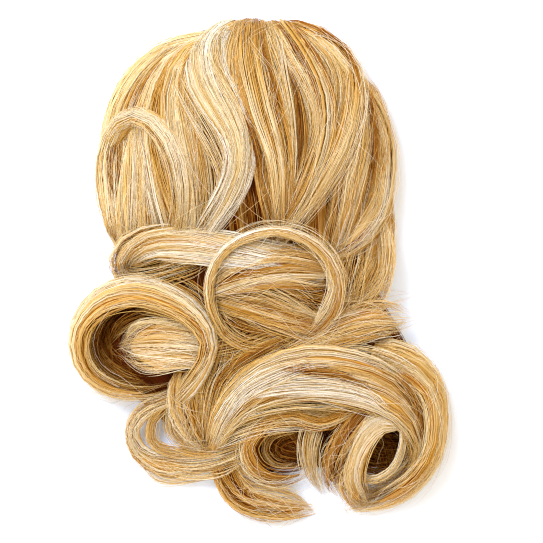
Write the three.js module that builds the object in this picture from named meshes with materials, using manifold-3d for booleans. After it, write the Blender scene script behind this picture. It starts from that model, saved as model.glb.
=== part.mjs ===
// A claw clip ponytail of false hair, lying on a flat surface with its clip side down.
// Millimetres, +Z up. The root end points to +Y and the curled ends to -Y.
import * as THREE from 'three';
import { mergeVertices } from 'three/addons/utils/BufferGeometryUtils.js';
import Module from 'manifold-3d';

const wasm = await Module();
wasm.setup();

// Driving dimensions
const GAP = 0.3; // clearance between neighbouring pieces
const LOCK_SIDES = 8; // sides of a lock's lens section
const FINE_ROWS = 7; // tables up to this long get two lofted sections for each row
const ARCH_STEPS = 10; // facets over a dome's arch
const SHELL_THICKNESS = 7; // hair that lies over the clip
const SHELL_END_WALL = 8; // hair in front of the clip at the root end
const FLOOR_BLOCK = { size: 600, depth: 60 }; // cuts what would reach below the surface
const TRAVEL_STEP = 0.1; // share of a row over which a lock's direction is read
const SLOPE_STEP = 1.5; // distance over which the dome's slope is read
const STEEPEST = 0.97; // share of the half width past which a lock would slip off the dome
const MERGE_DISTANCE = 1e-5; // vertices nearer than this are one

const CLIP = {
  x: -6, y: 58, // middle of the clip under the crown
  length: 76, // along Y
  halfWide: 22, halfHigh: 18.5, // the closed jaws' outer oval
  wall: 2.6,
  base: 1.2, // the tooth tips stand this far above the surface
  topOverlap: 12, // degrees past the top, where the jaws meet the hinge
  tipGap: 24, // degrees short of the bottom, so that the tooth rows stay apart
  arcSteps: 9,
};
const TEETH = { slots: 5, pitch: 12.5, slotWide: 5.5, slotHigh: 20, below: 1 };
const HINGE = { radius: 4.2, length: 40, sides: 12 };
const TAB = { length: 30, wall: 2.6, high: 15, lean: 22, rise: 7.5, apart: 6 };

// The crown's dome, a row for each section along Y: its feet on the surface and its height
const DOME_COLUMNS = ['y', 'left', 'right', 'top'];
const DOME = [
  [123, -14, 16, 6],
  [121, -22, 24, 15],
  [117, -33, 34, 27],
  [110, -46, 42, 38],
  [100, -60, 49, 47],
  [85, -70, 58, 54],
  [66, -75, 64, 57],
  [46, -77, 66, 54],
  [28, -74, 64, 47],
  [12, -69, 64, 40],
  [-4, -62, 60, 34],
];

// The low mass of hair under the curls, in the dome's columns
const UNDER_HAIR = [
  [-5, -62, 59, 31],
  [-18, -78, 62, 29],
  [-38, -82, 74, 26],
  [-54, -74, 82, 23],
  [-68, -52, 85, 19],
  [-82, -42, 83, 14],
  [-94, -26, 74, 9],
  [-101, -10, 62, 5],
];

// Locks that lie on the dome, a row for each section from the root to the tip
const CROWN_COLUMNS = ['x', 'y', 'lift', 'wide', 'thick'];
const CROWN_LOCKS = {
  crown_left_outer: [
    [-19, 116, 1, 10, 6],
    [-42, 110, 1, 16, 8],
    [-59, 97, 1, 20, 8],
    [-69, 78, 1, 22, 8],
    [-72, 53, 1, 22, 8],
    [-70, 28, 1, 20, 8],
    [-64, 11, 1, 14, 7],
  ],
  crown_left_mid: [
    [-15, 118, 1, 9, 6],
    [-36, 105, 1, 20, 8],
    [-48, 88, 1, 25, 8],
    [-53, 70, 1, 27, 8],
    [-49, 45, 1, 27, 8],
    [-43, 21, 1, 24, 7],
  ],
  crown_right_mid: [
    [34, 112, 1, 9, 6],
    [46, 98, 1, 14, 8],
    [51, 82, 1, 17, 8],
    [50, 63, 1, 20, 8],
    [46, 43, 1, 20, 8],
    [41, 21, 1, 16, 7],
  ],
  right_side: [
    [59, 46, 1, 14, 6],
    [61, 27, 1, 22, 8],
    [60, 11, 1, 24, 8],
    [57, -2, 1, 20, 7],
  ],
  crown_right_outer: [
    [37, 111, 2, 9, 6],
    [48, 99, 2, 13, 8],
    [57, 84, 2, 17, 8],
    [61, 64, 2, 19, 8],
    [61, 43, 2, 18, 8],
    [56, 26, 3, 15, 8],
    [46, 14, 4, 12, 7],
    [37, 9, 4, 9, 6],
  ],
  crown_center: [
    [-3, 121, 1, 12, 6],
    [-4, 104, 1, 22, 8],
    [1, 80, 1, 25, 8],
    [8, 57, 1, 21, 8],
    [10, 36, 1, 16, 7],
    [11, 22, 1, 12, 6],
  ],
  crown_center_right: [
    [11, 121, 1, 10, 6],
    [21, 105, 1, 19, 8],
    [28, 85, 1, 23, 8],
    [28, 65, 1, 20, 8],
    [22, 45, 1, 15, 7],
    [15, 27, 1, 10, 6],
  ],
  light_swoop: [
    [-14, 121, 1, 10, 6],
    [-23, 108, 2, 18, 8],
    [-24, 93, 2, 23, 9],
    [-18, 78, 2, 23, 9],
    [-11, 63, 2, 20, 9],
    [-8, 49, 2, 18, 9],
    [-11, 34, 2, 16, 8],
    [-20, 20, 2, 12, 7],
  ],
  right_swoop: [
    [20, 120, 2, 7, 6],
    [34, 113, 3, 9, 7],
    [43, 102, 3, 11, 8],
    [46, 87, 3, 11, 8],
    [43, 69, 3, 11, 8],
    [33, 47, 3, 10, 8],
    [18, 25, 3, 8, 6],
  ],
  left_loop_inner: [
    [-57, 70, 3, 8, 6],
    [-58, 55, 3, 14, 7],
    [-59, 38, 3, 20, 8],
    [-59, 21, 3, 23, 7],
  ],
  left_loop: [
    [-67, 19, 5, 8, 6],
    [-71, 45, 5, 10, 8],
    [-69, 63, 5, 11, 8],
    [-64, 75, 6, 11, 8],
    [-56, 80, 6, 11, 8],
    [-47, 76, 6, 12, 8],
    [-40, 64, 5, 12, 8],
    [-36, 48, 5, 12, 8],
    [-36, 33, 4, 11, 7],
    [-40, 19, 4, 9, 6],
  ],
};

// Rolls and curls, a row for each section. Lean turns the section from flat to upright, in degrees
const CURL_COLUMNS = ['x', 'y', 'z', 'wide', 'thick', 'lean'];
const CURLS = {
  lower_left_loop: [
    [-38, -62, 17, 9, 7, 0],
    [-53, -69, 13, 8, 6, 20],
    [-62, -79, 9, 8, 6, 30],
    [-59, -91, 6, 11, 6, 10],
    [-45, -98, 6, 16, 7, 0],
    [-26, -95, 11, 11, 7, 0],
  ],
  bottom_tail: [
    [-19, -95, 9, 11, 8, 0],
    [-9, -113, 7, 14, 9, 0],
    [11, -119, 6, 12, 8, 0],
    [30, -119.5, 4, 7, 5, 0],
  ],
  left_barrel: [
    [-24, -38, 37, 18, 5, 75],
    [-28, -26, 37, 20, 7, 65],
    [-40, -16, 35, 22, 10, 60],
    [-58, -10, 31, 26, 11, 60],
    [-75, -14, 26, 32, 11, 70],
    [-86, -25, 22, 36, 10, 80],
    [-89, -39, 20, 36, 10, 85],
    [-83, -52, 17, 32, 9, 85],
    [-70, -60, 15, 28, 8, 80],
    [-53, -61, 15, 26, 7, 80],
    [-38, -57, 17, 22, 6, 75],
  ],
  left_barrel_inner: [
    [-20, -40, 31, 17, 9, 0],
    [-36, -37, 34, 24, 10, 0],
    [-51, -37, 33, 28, 10, 0],
    [-61, -38, 27, 26, 9, 0],
    [-66, -39, 19, 18, 8, 0],
  ],
  center_fan: [
    [-35, -50, 26, 14, 8, 0],
    [-34, -64, 21, 22, 9, 0],
    [-30, -77, 17, 18, 8, 0],
    [-25, -89, 13, 10, 7, 0],
  ],
  cross_strands: [
    [42, -27, 27, 14, 8, 0],
    [21, -37, 29, 19, 9, 0],
    [2, -48, 29, 20, 9, 0],
    [-13, -60, 25, 17, 9, 0],
    [-22, -73, 19, 12, 8, 0],
  ],
  right_diagonal: [
    [14, -42, 31, 14, 8, 0],
    [37, -32, 32, 18, 10, 0],
    [57, -25, 29, 20, 10, 10],
    [73, -25, 20, 20, 9, 20],
  ],
  small_curl: [
    [33, -74, 24, 14, 7, 40],
    [18, -71, 23, 14, 7, 45],
    [4, -76, 20, 15, 7, 55],
    [-4, -87, 15, 17, 7, 65],
    [-1, -98, 12, 17, 7, 65],
    [9, -104, 10, 15, 7, 60],
    [22, -102, 9, 12, 6, 55],
    [29, -94, 11, 10, 6, 50],
  ],
  copper_lock: [
    [58, -67, 26, 10, 8, 0],
    [47, -80, 25, 13, 9, 0],
    [40, -94, 19, 13, 9, 0],
    [37, -110, 8, 9, 7, 0],
  ],
  spiral_outer: [
    [58, -40, 24, 16, 9, -30],
    [75, -46, 24, 24, 10, -50],
    [87, -58, 21, 32, 9, -70],
    [90, -75, 19, 34, 9, -80],
    [87, -93, 17, 31, 9, -80],
    [77, -107, 14, 26, 8, -75],
    [64, -115, 10, 19, 8, -65],
    [51, -119, 6, 11, 7, -50],
  ],
  spiral_inner: [
    [71, -75, 31, 10, 7, 20],
    [61, -76, 31, 12, 7, 30],
    [53, -86, 28, 16, 7, 50],
    [48, -101, 20, 20, 7, 55],
    [50, -114, 11, 14, 7, 40],
  ],
  lower_sweep: [
    [-22, -89, 15, 8, 7, 0],
    [-14, -70, 24, 16, 9, 10],
    [2, -57, 32, 24, 10, 10],
    [24, -51, 36, 28, 11, 5],
    [46, -53, 36, 29, 11, 0],
    [65, -61, 33, 25, 11, -15],
    [77, -75, 29, 17, 9, -40],
    [80, -92, 24, 14, 7, -70],
    [71, -106, 17, 12, 7, -70],
  ],
  ring_lower: [
    [-24, -19, 31, 13, 9, 0],
    [-8, -18, 34, 17, 10, 0],
    [11, -20, 35, 18, 10, 0],
    [29, -23, 33, 16, 10, 0],
    [44, -25, 28, 13, 8, 0],
  ],
  left_roll: [
    [-2, 8, 44, 18, 9, 0],
    [-17, 10.5, 44, 19, 10, 0],
    [-34, 13, 42, 19, 11, 0],
    [-51, 14, 37, 18, 12, -20],
    [-63, 10, 30, 17, 12, -45],
    [-68, 3, 23, 17, 11, -60],
    [-64, -3, 18, 15, 10, -45],
    [-54, -5, 15, 12, 8, 0],
  ],
  ring_upper: [
    [-25, -2, 39, 16, 9, 0],
    [-8, 1, 42, 21, 10, 0],
    [10, 1, 43, 22, 10, 0],
    [28, -1, 41, 20, 10, 0],
    [43, -5, 37, 16, 9, 0],
  ],
  ring_curl: [
    [-15, -34, 33, 10, 6, -60],
    [-22, -21, 40, 11, 6, -65],
    [-24, -8, 45, 12, 6, -65],
    [-20, 5, 49, 12, 6, -65],
    [-9, 15, 51, 12, 7, -65],
    [9, 20, 52, 12, 7, -65],
    [26, 15, 51, 12, 8, -65],
    [37, 4, 49, 13, 9, -65],
    [41, -10, 46, 13, 9, -65],
    [37, -23, 42, 13, 9, -65],
    [27, -32, 37, 12, 8, -60],
    [14, -37, 33, 10, 7, -55],
  ],
};

const COLORS = { hair: 0xe2bb73, deep: 0xb98544, pale: 0xf1dcae, copper: 0xc07f3a, clip: 0x6b4a2c };
const ROUGHNESS = { hair: 0.55, clip: 0.4 };
const HAIR_COLORS = {
  crown_shell: COLORS.deep,
  under_hair: COLORS.deep,
  light_swoop: COLORS.pale,
  right_swoop: COLORS.pale,
  left_barrel_inner: COLORS.pale,
  spiral_inner: COLORS.pale,
  copper_lock: COLORS.copper,
};

// Solids

function solidOf(geometry) {
  const bare = geometry.clone();
  bare.deleteAttribute('normal');
  bare.deleteAttribute('uv');
  const merged = mergeVertices(bare, MERGE_DISTANCE);
  return new wasm.Manifold(new wasm.Mesh({
    numProp: 3,
    vertProperties: new Float32Array(merged.attributes.position.array),
    triVerts: new Uint32Array(merged.index.array),
  }));
}

function geometryOf(solid) {
  const mesh = solid.getMesh();
  const geometry = new THREE.BufferGeometry();
  geometry.setAttribute('position', new THREE.BufferAttribute(new Float32Array(mesh.vertProperties), 3));
  geometry.setIndex(new THREE.BufferAttribute(new Uint32Array(mesh.triVerts), 1));
  geometry.computeVertexNormals();
  return geometry;
}

// Closed solid through rings of equal length, each ring counter-clockwise about the way of travel
function loft(rings) {
  const sides = rings[0].length;
  const points = rings.flat();
  const faces = [];
  for (let ring = 0; ring + 1 < rings.length; ring += 1) {
    for (let side = 0; side < sides; side += 1) {
      const next = (side + 1) % sides;
      const a = ring * sides + side;
      const b = ring * sides + next;
      faces.push(a, b, a + sides, b, b + sides, a + sides);
    }
  }
  const last = (rings.length - 1) * sides;
  for (let side = 1; side + 1 < sides; side += 1) {
    faces.push(0, side + 1, side);
    faces.push(last, last + side, last + side + 1);
  }
  const geometry = new THREE.BufferGeometry().setFromPoints(points);
  geometry.setIndex(faces);
  return solidOf(geometry);
}

function largestBody(solid) {
  const bodies = solid.decompose();
  return bodies.reduce((best, body) => (body.volume() > best.volume() ? body : best));
}

function boxSolid(size, center) {
  const box = new THREE.BoxGeometry(size.x, size.y, size.z);
  box.translate(center.x, center.y, center.z);
  return solidOf(box);
}

// Tables

function named(columns, rows) {
  return rows.map((row) => Object.fromEntries(columns.map((column, index) => [column, row[index]])));
}

// Smooth curves through a table's columns, all read at a row number with a fraction
function smoothTable(columns, rows) {
  const last = rows.length - 1;
  const curves = columns.map((column, index) => (
    new THREE.SplineCurve(rows.map((row, place) => new THREE.Vector2(place, row[index])))
  ));
  const at = (place) => {
    const share = THREE.MathUtils.clamp(place / last, 0, 1);
    return Object.fromEntries(columns.map((column, index) => [column, curves[index].getPoint(share).y]));
  };
  return { last, at };
}

// Dome

const domeRows = named(DOME_COLUMNS, DOME);

function domeSection(y) {
  const clamped = THREE.MathUtils.clamp(y, domeRows.at(-1).y, domeRows[0].y);
  const after = Math.max(1, domeRows.findIndex((row) => row.y <= clamped));
  const low = domeRows[after];
  const high = domeRows[after - 1];
  const share = (clamped - low.y) / (high.y - low.y);
  const between = (column) => THREE.MathUtils.lerp(low[column], high[column], share);
  return { left: between('left'), right: between('right'), top: between('top') };
}

function domePoint(x, y) {
  const { left, right, top } = domeSection(y);
  const middle = (left + right) / 2;
  const half = (right - left) / 2;
  const share = THREE.MathUtils.clamp((x - middle) / half, -STEEPEST, STEEPEST);
  return new THREE.Vector3(middle + share * half, y, top * Math.sqrt(1 - share * share));
}

function domeNormal(x, y) {
  const { left, right, top } = domeSection(y);
  const middle = (left + right) / 2;
  const half = (right - left) / 2;
  const place = domePoint(x, y);
  const across = new THREE.Vector3((place.x - middle) / half ** 2, 0, place.z / top ** 2).normalize();
  const rise = (domePoint(x, y + SLOPE_STEP).z - domePoint(x, y - SLOPE_STEP).z) / (2 * SLOPE_STEP);
  return across.setY(-rise * across.z).normalize();
}

// D-shaped solid with a flat underside, lofted along Y from the last row to the first
function archSolid(rows, inset = 0, foot = 0) {
  const rings = rows.map(({ y, left, right, top }) => {
    const middle = (left + right) / 2;
    const half = (right - left) / 2 - inset;
    const arch = [];
    for (let step = 0; step <= ARCH_STEPS; step += 1) {
      const angle = (Math.PI * step) / ARCH_STEPS;
      const x = middle + half * Math.cos(angle);
      arch.push(new THREE.Vector3(x, y, foot + (top - inset - foot) * Math.sin(angle)));
    }
    return arch;
  });
  return loft(rings);
}

function crownShell() {
  const outer = archSolid(domeRows);
  const inside = domeRows
    .filter((row) => row.top > 2 * SHELL_THICKNESS)
    .map((row) => ({ ...row, y: row.y - SHELL_END_WALL }));
  return outer.subtract(archSolid(inside, SHELL_THICKNESS, -GAP));
}

function underHair() {
  return archSolid(named(DOME_COLUMNS, UNDER_HAIR));
}

// Locks

// Lens section across the way of travel: wide along the side, thick along the face
function lensRing(place, side, face, wide, thick) {
  const ring = [];
  for (let corner = 0; corner < LOCK_SIDES; corner += 1) {
    const angle = (2 * Math.PI * corner) / LOCK_SIDES;
    const point = place.clone();
    point.addScaledVector(side, (Math.cos(angle) * wide) / 2);
    point.addScaledVector(face, (Math.sin(angle) * thick) / 2);
    ring.push(point);
  }
  return ring;
}

// Sweep lens sections along a spine; faceAt gives the direction that a section's flat faces
function sweepLock(table, spine, faceAt, grow) {
  const stepsPerRow = table.last < FINE_ROWS ? 2 : 1;
  const steps = table.last * stepsPerRow;
  const rings = [];
  for (let step = 0; step <= steps; step += 1) {
    const row = step / stepsPerRow;
    const place = spine(row);
    const travel = spine(row + TRAVEL_STEP).sub(spine(row - TRAVEL_STEP)).normalize();
    const face = faceAt(row, travel);
    face.addScaledVector(travel, -face.dot(travel)).normalize();
    const side = new THREE.Vector3().crossVectors(face, travel);
    if (step === 0) place.addScaledVector(travel, -grow);
    if (step === steps) place.addScaledVector(travel, grow);
    const { wide, thick } = table.at(row);
    rings.push(lensRing(place, side, face, wide + 2 * grow, thick + 2 * grow));
  }
  return loft(rings);
}

function crownLock(rows, grow = 0) {
  const table = smoothTable(CROWN_COLUMNS, rows);
  const faceAt = (row) => {
    const { x, y } = table.at(row);
    return domeNormal(x, y);
  };
  const spine = (row) => {
    const { x, y, lift } = table.at(row);
    return domePoint(x, y).addScaledVector(domeNormal(x, y), lift);
  };
  return sweepLock(table, spine, faceAt, grow);
}

const UP = new THREE.Vector3(0, 0, 1);

function curl(rows, grow = 0) {
  const table = smoothTable(CURL_COLUMNS, rows);
  const spine = (row) => {
    const { x, y, z } = table.at(row);
    return new THREE.Vector3(x, y, z);
  };
  const faceAt = (row, travel) => {
    const right = new THREE.Vector3().crossVectors(travel, UP).normalize();
    const top = new THREE.Vector3().crossVectors(right, travel);
    const lean = THREE.MathUtils.degToRad(table.at(row).lean);
    return top.multiplyScalar(Math.cos(lean)).addScaledVector(right, Math.sin(lean));
  };
  return sweepLock(table, spine, faceAt, grow);
}

// Claw clip

function ovalPoint(radiusX, radiusZ, angle) {
  return new THREE.Vector2(radiusX * Math.cos(angle), radiusZ * Math.sin(angle));
}

// One jaw's curved wall in section, from the hinge round to the tooth tips
function jawShape(grow) {
  const start = THREE.MathUtils.degToRad(90 + CLIP.topOverlap);
  const end = THREE.MathUtils.degToRad(-90 + CLIP.tipGap);
  const outer = [];
  const inner = [];
  for (let step = 0; step <= CLIP.arcSteps; step += 1) {
    const angle = THREE.MathUtils.lerp(start, end, step / CLIP.arcSteps);
    outer.push(ovalPoint(CLIP.halfWide + grow, CLIP.halfHigh + grow, angle));
    inner.push(ovalPoint(CLIP.halfWide - CLIP.wall - grow, CLIP.halfHigh - CLIP.wall - grow, angle));
  }
  return new THREE.Shape([...outer, ...inner.reverse()]);
}

// Extrude a section drawn in X and Z along Y, centred on the clip
function alongClip(shape, length) {
  const geometry = new THREE.ExtrudeGeometry(shape, { depth: length, bevelEnabled: false });
  geometry.translate(0, 0, -length / 2);
  geometry.rotateX(Math.PI / 2);
  return geometry;
}

function toothSlots(sideSign) {
  const slots = [];
  for (let slot = 0; slot < TEETH.slots; slot += 1) {
    const y = (slot - (TEETH.slots - 1) / 2) * TEETH.pitch;
    const size = new THREE.Vector3(CLIP.halfWide * 2, TEETH.slotWide, TEETH.slotHigh);
    const z = TEETH.slotHigh / 2 - CLIP.halfHigh - TEETH.below;
    slots.push(boxSolid(size, new THREE.Vector3(sideSign * CLIP.halfWide, y, z)));
  }
  return slots;
}

function jaw(sideSign, grow) {
  const geometry = alongClip(jawShape(grow), CLIP.length + 2 * grow);
  if (sideSign < 0) geometry.rotateZ(Math.PI);
  let solid = solidOf(geometry);
  if (grow === 0) toothSlots(sideSign).forEach((slot) => { solid = solid.subtract(slot); });
  return solid;
}

function thumbTab(sideSign, grow) {
  const geometry = new THREE.BoxGeometry(TAB.wall + 2 * grow, TAB.length + 2 * grow, TAB.high + 2 * grow);
  geometry.rotateY(sideSign * THREE.MathUtils.degToRad(TAB.lean));
  geometry.translate(sideSign * TAB.apart, 0, CLIP.halfHigh + TAB.rise);
  return solidOf(geometry);
}

function hingeBarrel(grow) {
  const geometry = new THREE.CylinderGeometry(
    HINGE.radius + grow, HINGE.radius + grow, HINGE.length + 2 * grow, HINGE.sides,
  );
  geometry.translate(0, 0, CLIP.halfHigh);
  return solidOf(geometry);
}

function clawClip(grow = 0) {
  const pieces = [hingeBarrel(grow)];
  [-1, 1].forEach((sideSign) => pieces.push(jaw(sideSign, grow), thumbTab(sideSign, grow)));
  const clip = pieces.reduce((whole, piece) => whole.add(piece));
  return clip.translate([CLIP.x, CLIP.y, CLIP.base + CLIP.halfHigh]);
}

// Assembly

const group = new THREE.Group();

function addMesh(name, solid, color, roughness) {
  const material = new THREE.MeshStandardMaterial({ color, roughness, metalness: 0 });
  const mesh = new THREE.Mesh(geometryOf(solid), material);
  mesh.name = name;
  group.add(mesh);
}

const belowSurface = boxSolid(
  new THREE.Vector3(FLOOR_BLOCK.size, FLOOR_BLOCK.size, FLOOR_BLOCK.depth),
  new THREE.Vector3(0, 0, -FLOOR_BLOCK.depth / 2),
);

// Pieces are laid one on another: each is cut back from all that lie there before it
const laid = [];

function lay(name, solid, grown) {
  let cut = solid.subtract(belowSurface);
  laid.forEach((before) => { cut = cut.subtract(before); });
  laid.push(grown);
  addMesh(name, largestBody(cut), HAIR_COLORS[name] ?? COLORS.hair, ROUGHNESS.hair);
}

addMesh('claw_clip', clawClip(), COLORS.clip, ROUGHNESS.clip);
laid.push(clawClip(GAP));
const grownDome = domeRows.map((row) => ({
  y: row.y, left: row.left - GAP, right: row.right + GAP, top: row.top + GAP,
}));
lay('crown_shell', crownShell(), archSolid(grownDome));
lay('under_hair', underHair(), archSolid(named(DOME_COLUMNS, UNDER_HAIR), -GAP));
Object.entries(CROWN_LOCKS).forEach(([name, rows]) => lay(name, crownLock(rows), crownLock(rows, GAP)));
Object.entries(CURLS).forEach(([name, rows]) => lay(name, curl(rows), curl(rows, GAP)));

export default group;
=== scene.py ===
"""Looks of a claw clip ponytail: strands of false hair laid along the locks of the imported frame.

Metres, +Z up, root end at +Y. The tables are in millimetres and follow the CAD's locks.
"""
import math

import bpy
import numpy as np
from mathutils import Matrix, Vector


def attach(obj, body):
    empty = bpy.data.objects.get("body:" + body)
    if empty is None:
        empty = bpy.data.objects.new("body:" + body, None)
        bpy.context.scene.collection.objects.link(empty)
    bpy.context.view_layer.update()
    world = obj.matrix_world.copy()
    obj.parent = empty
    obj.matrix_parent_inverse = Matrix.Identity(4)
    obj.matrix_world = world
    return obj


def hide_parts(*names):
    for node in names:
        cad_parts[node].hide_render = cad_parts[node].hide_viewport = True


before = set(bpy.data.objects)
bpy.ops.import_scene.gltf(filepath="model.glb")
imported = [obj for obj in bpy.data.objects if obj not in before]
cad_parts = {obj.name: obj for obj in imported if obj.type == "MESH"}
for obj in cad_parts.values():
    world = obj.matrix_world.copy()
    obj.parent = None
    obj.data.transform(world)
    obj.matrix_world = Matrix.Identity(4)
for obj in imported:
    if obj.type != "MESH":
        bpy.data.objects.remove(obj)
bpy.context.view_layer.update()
scene = bpy.context.scene

MM = 0.001
TURN = 2 * math.pi
UP = np.array([0.0, 0.0, 1.0])

# The crown's dome, a row for each section: Y, its left and right feet, and its height
DOME = np.array([
    (123, -14, 16, 6), (121, -22, 24, 15), (117, -33, 34, 27), (110, -46, 42, 38), (100, -60, 49, 47),
    (85, -70, 58, 54), (66, -75, 64, 57), (46, -77, 66, 54), (28, -74, 64, 47), (12, -69, 64, 40),
    (-4, -62, 60, 34), (-12, -58, 56, 29),
], float)

# The low mass of hair under the curls, in the dome's columns
UNDER_HAIR = np.array([
    (6, -57, 55, 28), (-5, -62, 59, 31), (-18, -78, 62, 29), (-38, -82, 74, 26), (-54, -74, 82, 23),
    (-68, -52, 85, 19), (-80, -42, 84, 14), (-88, -27, 80, 11), (-94, -10, 75, 8), (-99, 4, 67, 4),
], float)

# Locks that lie on the dome, a row for each section from the root to the tip:
# X, Y, lift off the dome, width and thickness
CROWN_LOCKS = {
    "crown_left_outer": [
        (-13, 122, 0.5, 8, 5), (-19, 116, 1, 10, 6), (-42, 110, 1, 16, 8), (-59, 97, 1, 20, 8),
        (-69, 78, 1, 22, 8), (-72, 53, 1, 22, 8), (-70, 28, 1, 20, 8), (-64, 11, 1, 14, 7),
        (-58, -2, 1, 10, 6),
    ],
    "crown_left_mid": [
        (-12, 123, 0.5, 8, 5), (-15, 118, 1, 9, 6), (-36, 105, 1, 20, 8), (-45, 88, 1, 29, 8),
        (-46, 70, 1, 37, 8), (-42, 45, 1, 38, 8), (-38, 21, 1, 30, 7), (-38, 2, 1, 22, 6),
    ],
    "crown_right_mid": [
        (25, 119, 0.5, 8, 5), (33, 111, 1, 9, 6), (43.5, 98, 1, 14, 8), (50, 82, 1, 17, 8),
        (50, 63, 1, 20, 8), (46, 43, 1, 20, 8), (41, 21, 1, 16, 7), (34, 0, 1, 12, 6),
    ],
    "right_side": [
        (59, 46, 1, 14, 6), (61, 27, 1, 22, 8), (60, 11, 1, 24, 8), (57, -2, 1, 20, 7), (53, -12, 1, 16, 6),
    ],
    "crown_right_outer": [
        (26, 119, 0.5, 8, 5), (35.5, 109, 1, 9, 6), (44.5, 98, 1, 12, 7), (54.5, 83, 1.5, 16, 8),
        (61, 64, 2, 19, 8), (61, 43, 2, 18, 8), (56, 26, 3, 15, 8), (46, 14, 4, 12, 7), (37, 9, 4, 9, 6),
        (24, 1, 3, 8, 6),
    ],
    "crown_center": [
        (-2, 123.5, 0.5, 16, 5), (-3, 121, 1, 17, 6), (-4, 104, 1, 22, 8), (1, 80, 1, 25, 8),
        (8, 57, 1, 21, 8), (10, 36, 1, 16, 7), (11, 22, 1, 12, 6), (11, 4, 1, 10, 6),
    ],
    "crown_center_right": [
        (9.5, 123.5, 0.5, 14, 5), (11, 121, 1, 15, 6), (21, 105, 1, 19, 8), (29.5, 86, 1, 19, 8),
        (31, 67, 1, 15, 8), (25, 46, 1, 13, 7), (15, 27, 1, 10, 6), (8, 8, 1, 9, 6),
    ],
    "light_swoop": [
        (-12, 123, 0.5, 10, 5), (-15, 121, 1, 11, 6), (-23.5, 109, 2, 17, 8), (-23, 95, 2, 20, 9),
        (-16.5, 82, 2, 20, 9), (-10, 69, 2, 17, 9), (-8, 56, 2, 15, 9), (-12, 42, 2, 14, 8),
        (-21, 27, 2, 12, 7), (-33, 9, 2, 10, 6),
    ],
    "right_swoop": [
        (15, 122.5, 0.5, 7, 5), (20, 120, 2, 7, 6), (34, 113, 3, 9, 7), (43, 102, 3, 11, 8),
        (46, 87, 3, 11, 8), (43, 69, 3, 11, 8), (33, 47, 3, 10, 8), (18, 25, 3, 8, 6), (-2, 9, 2, 8, 6),
    ],
    "left_loop_inner": [
        (-57, 70, 3, 8, 6), (-58, 55, 3, 14, 7), (-59, 38, 3, 20, 8), (-59, 21, 3, 23, 7),
        (-58, 4, 2, 20, 6),
    ],
    "left_loop": [
        (-67, 19, 5, 8, 6), (-71, 45, 5, 10, 8), (-70, 60, 5, 9, 8), (-65, 71, 6, 9, 8), (-57, 76, 6, 9, 8),
        (-48, 72.5, 6, 10, 8), (-40.5, 62, 5, 11, 8), (-36, 48, 5, 12, 8), (-36, 33, 4, 11, 7),
        (-40, 19, 4, 9, 6), (-45, 4, 3, 8, 6),
    ],
}

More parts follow.
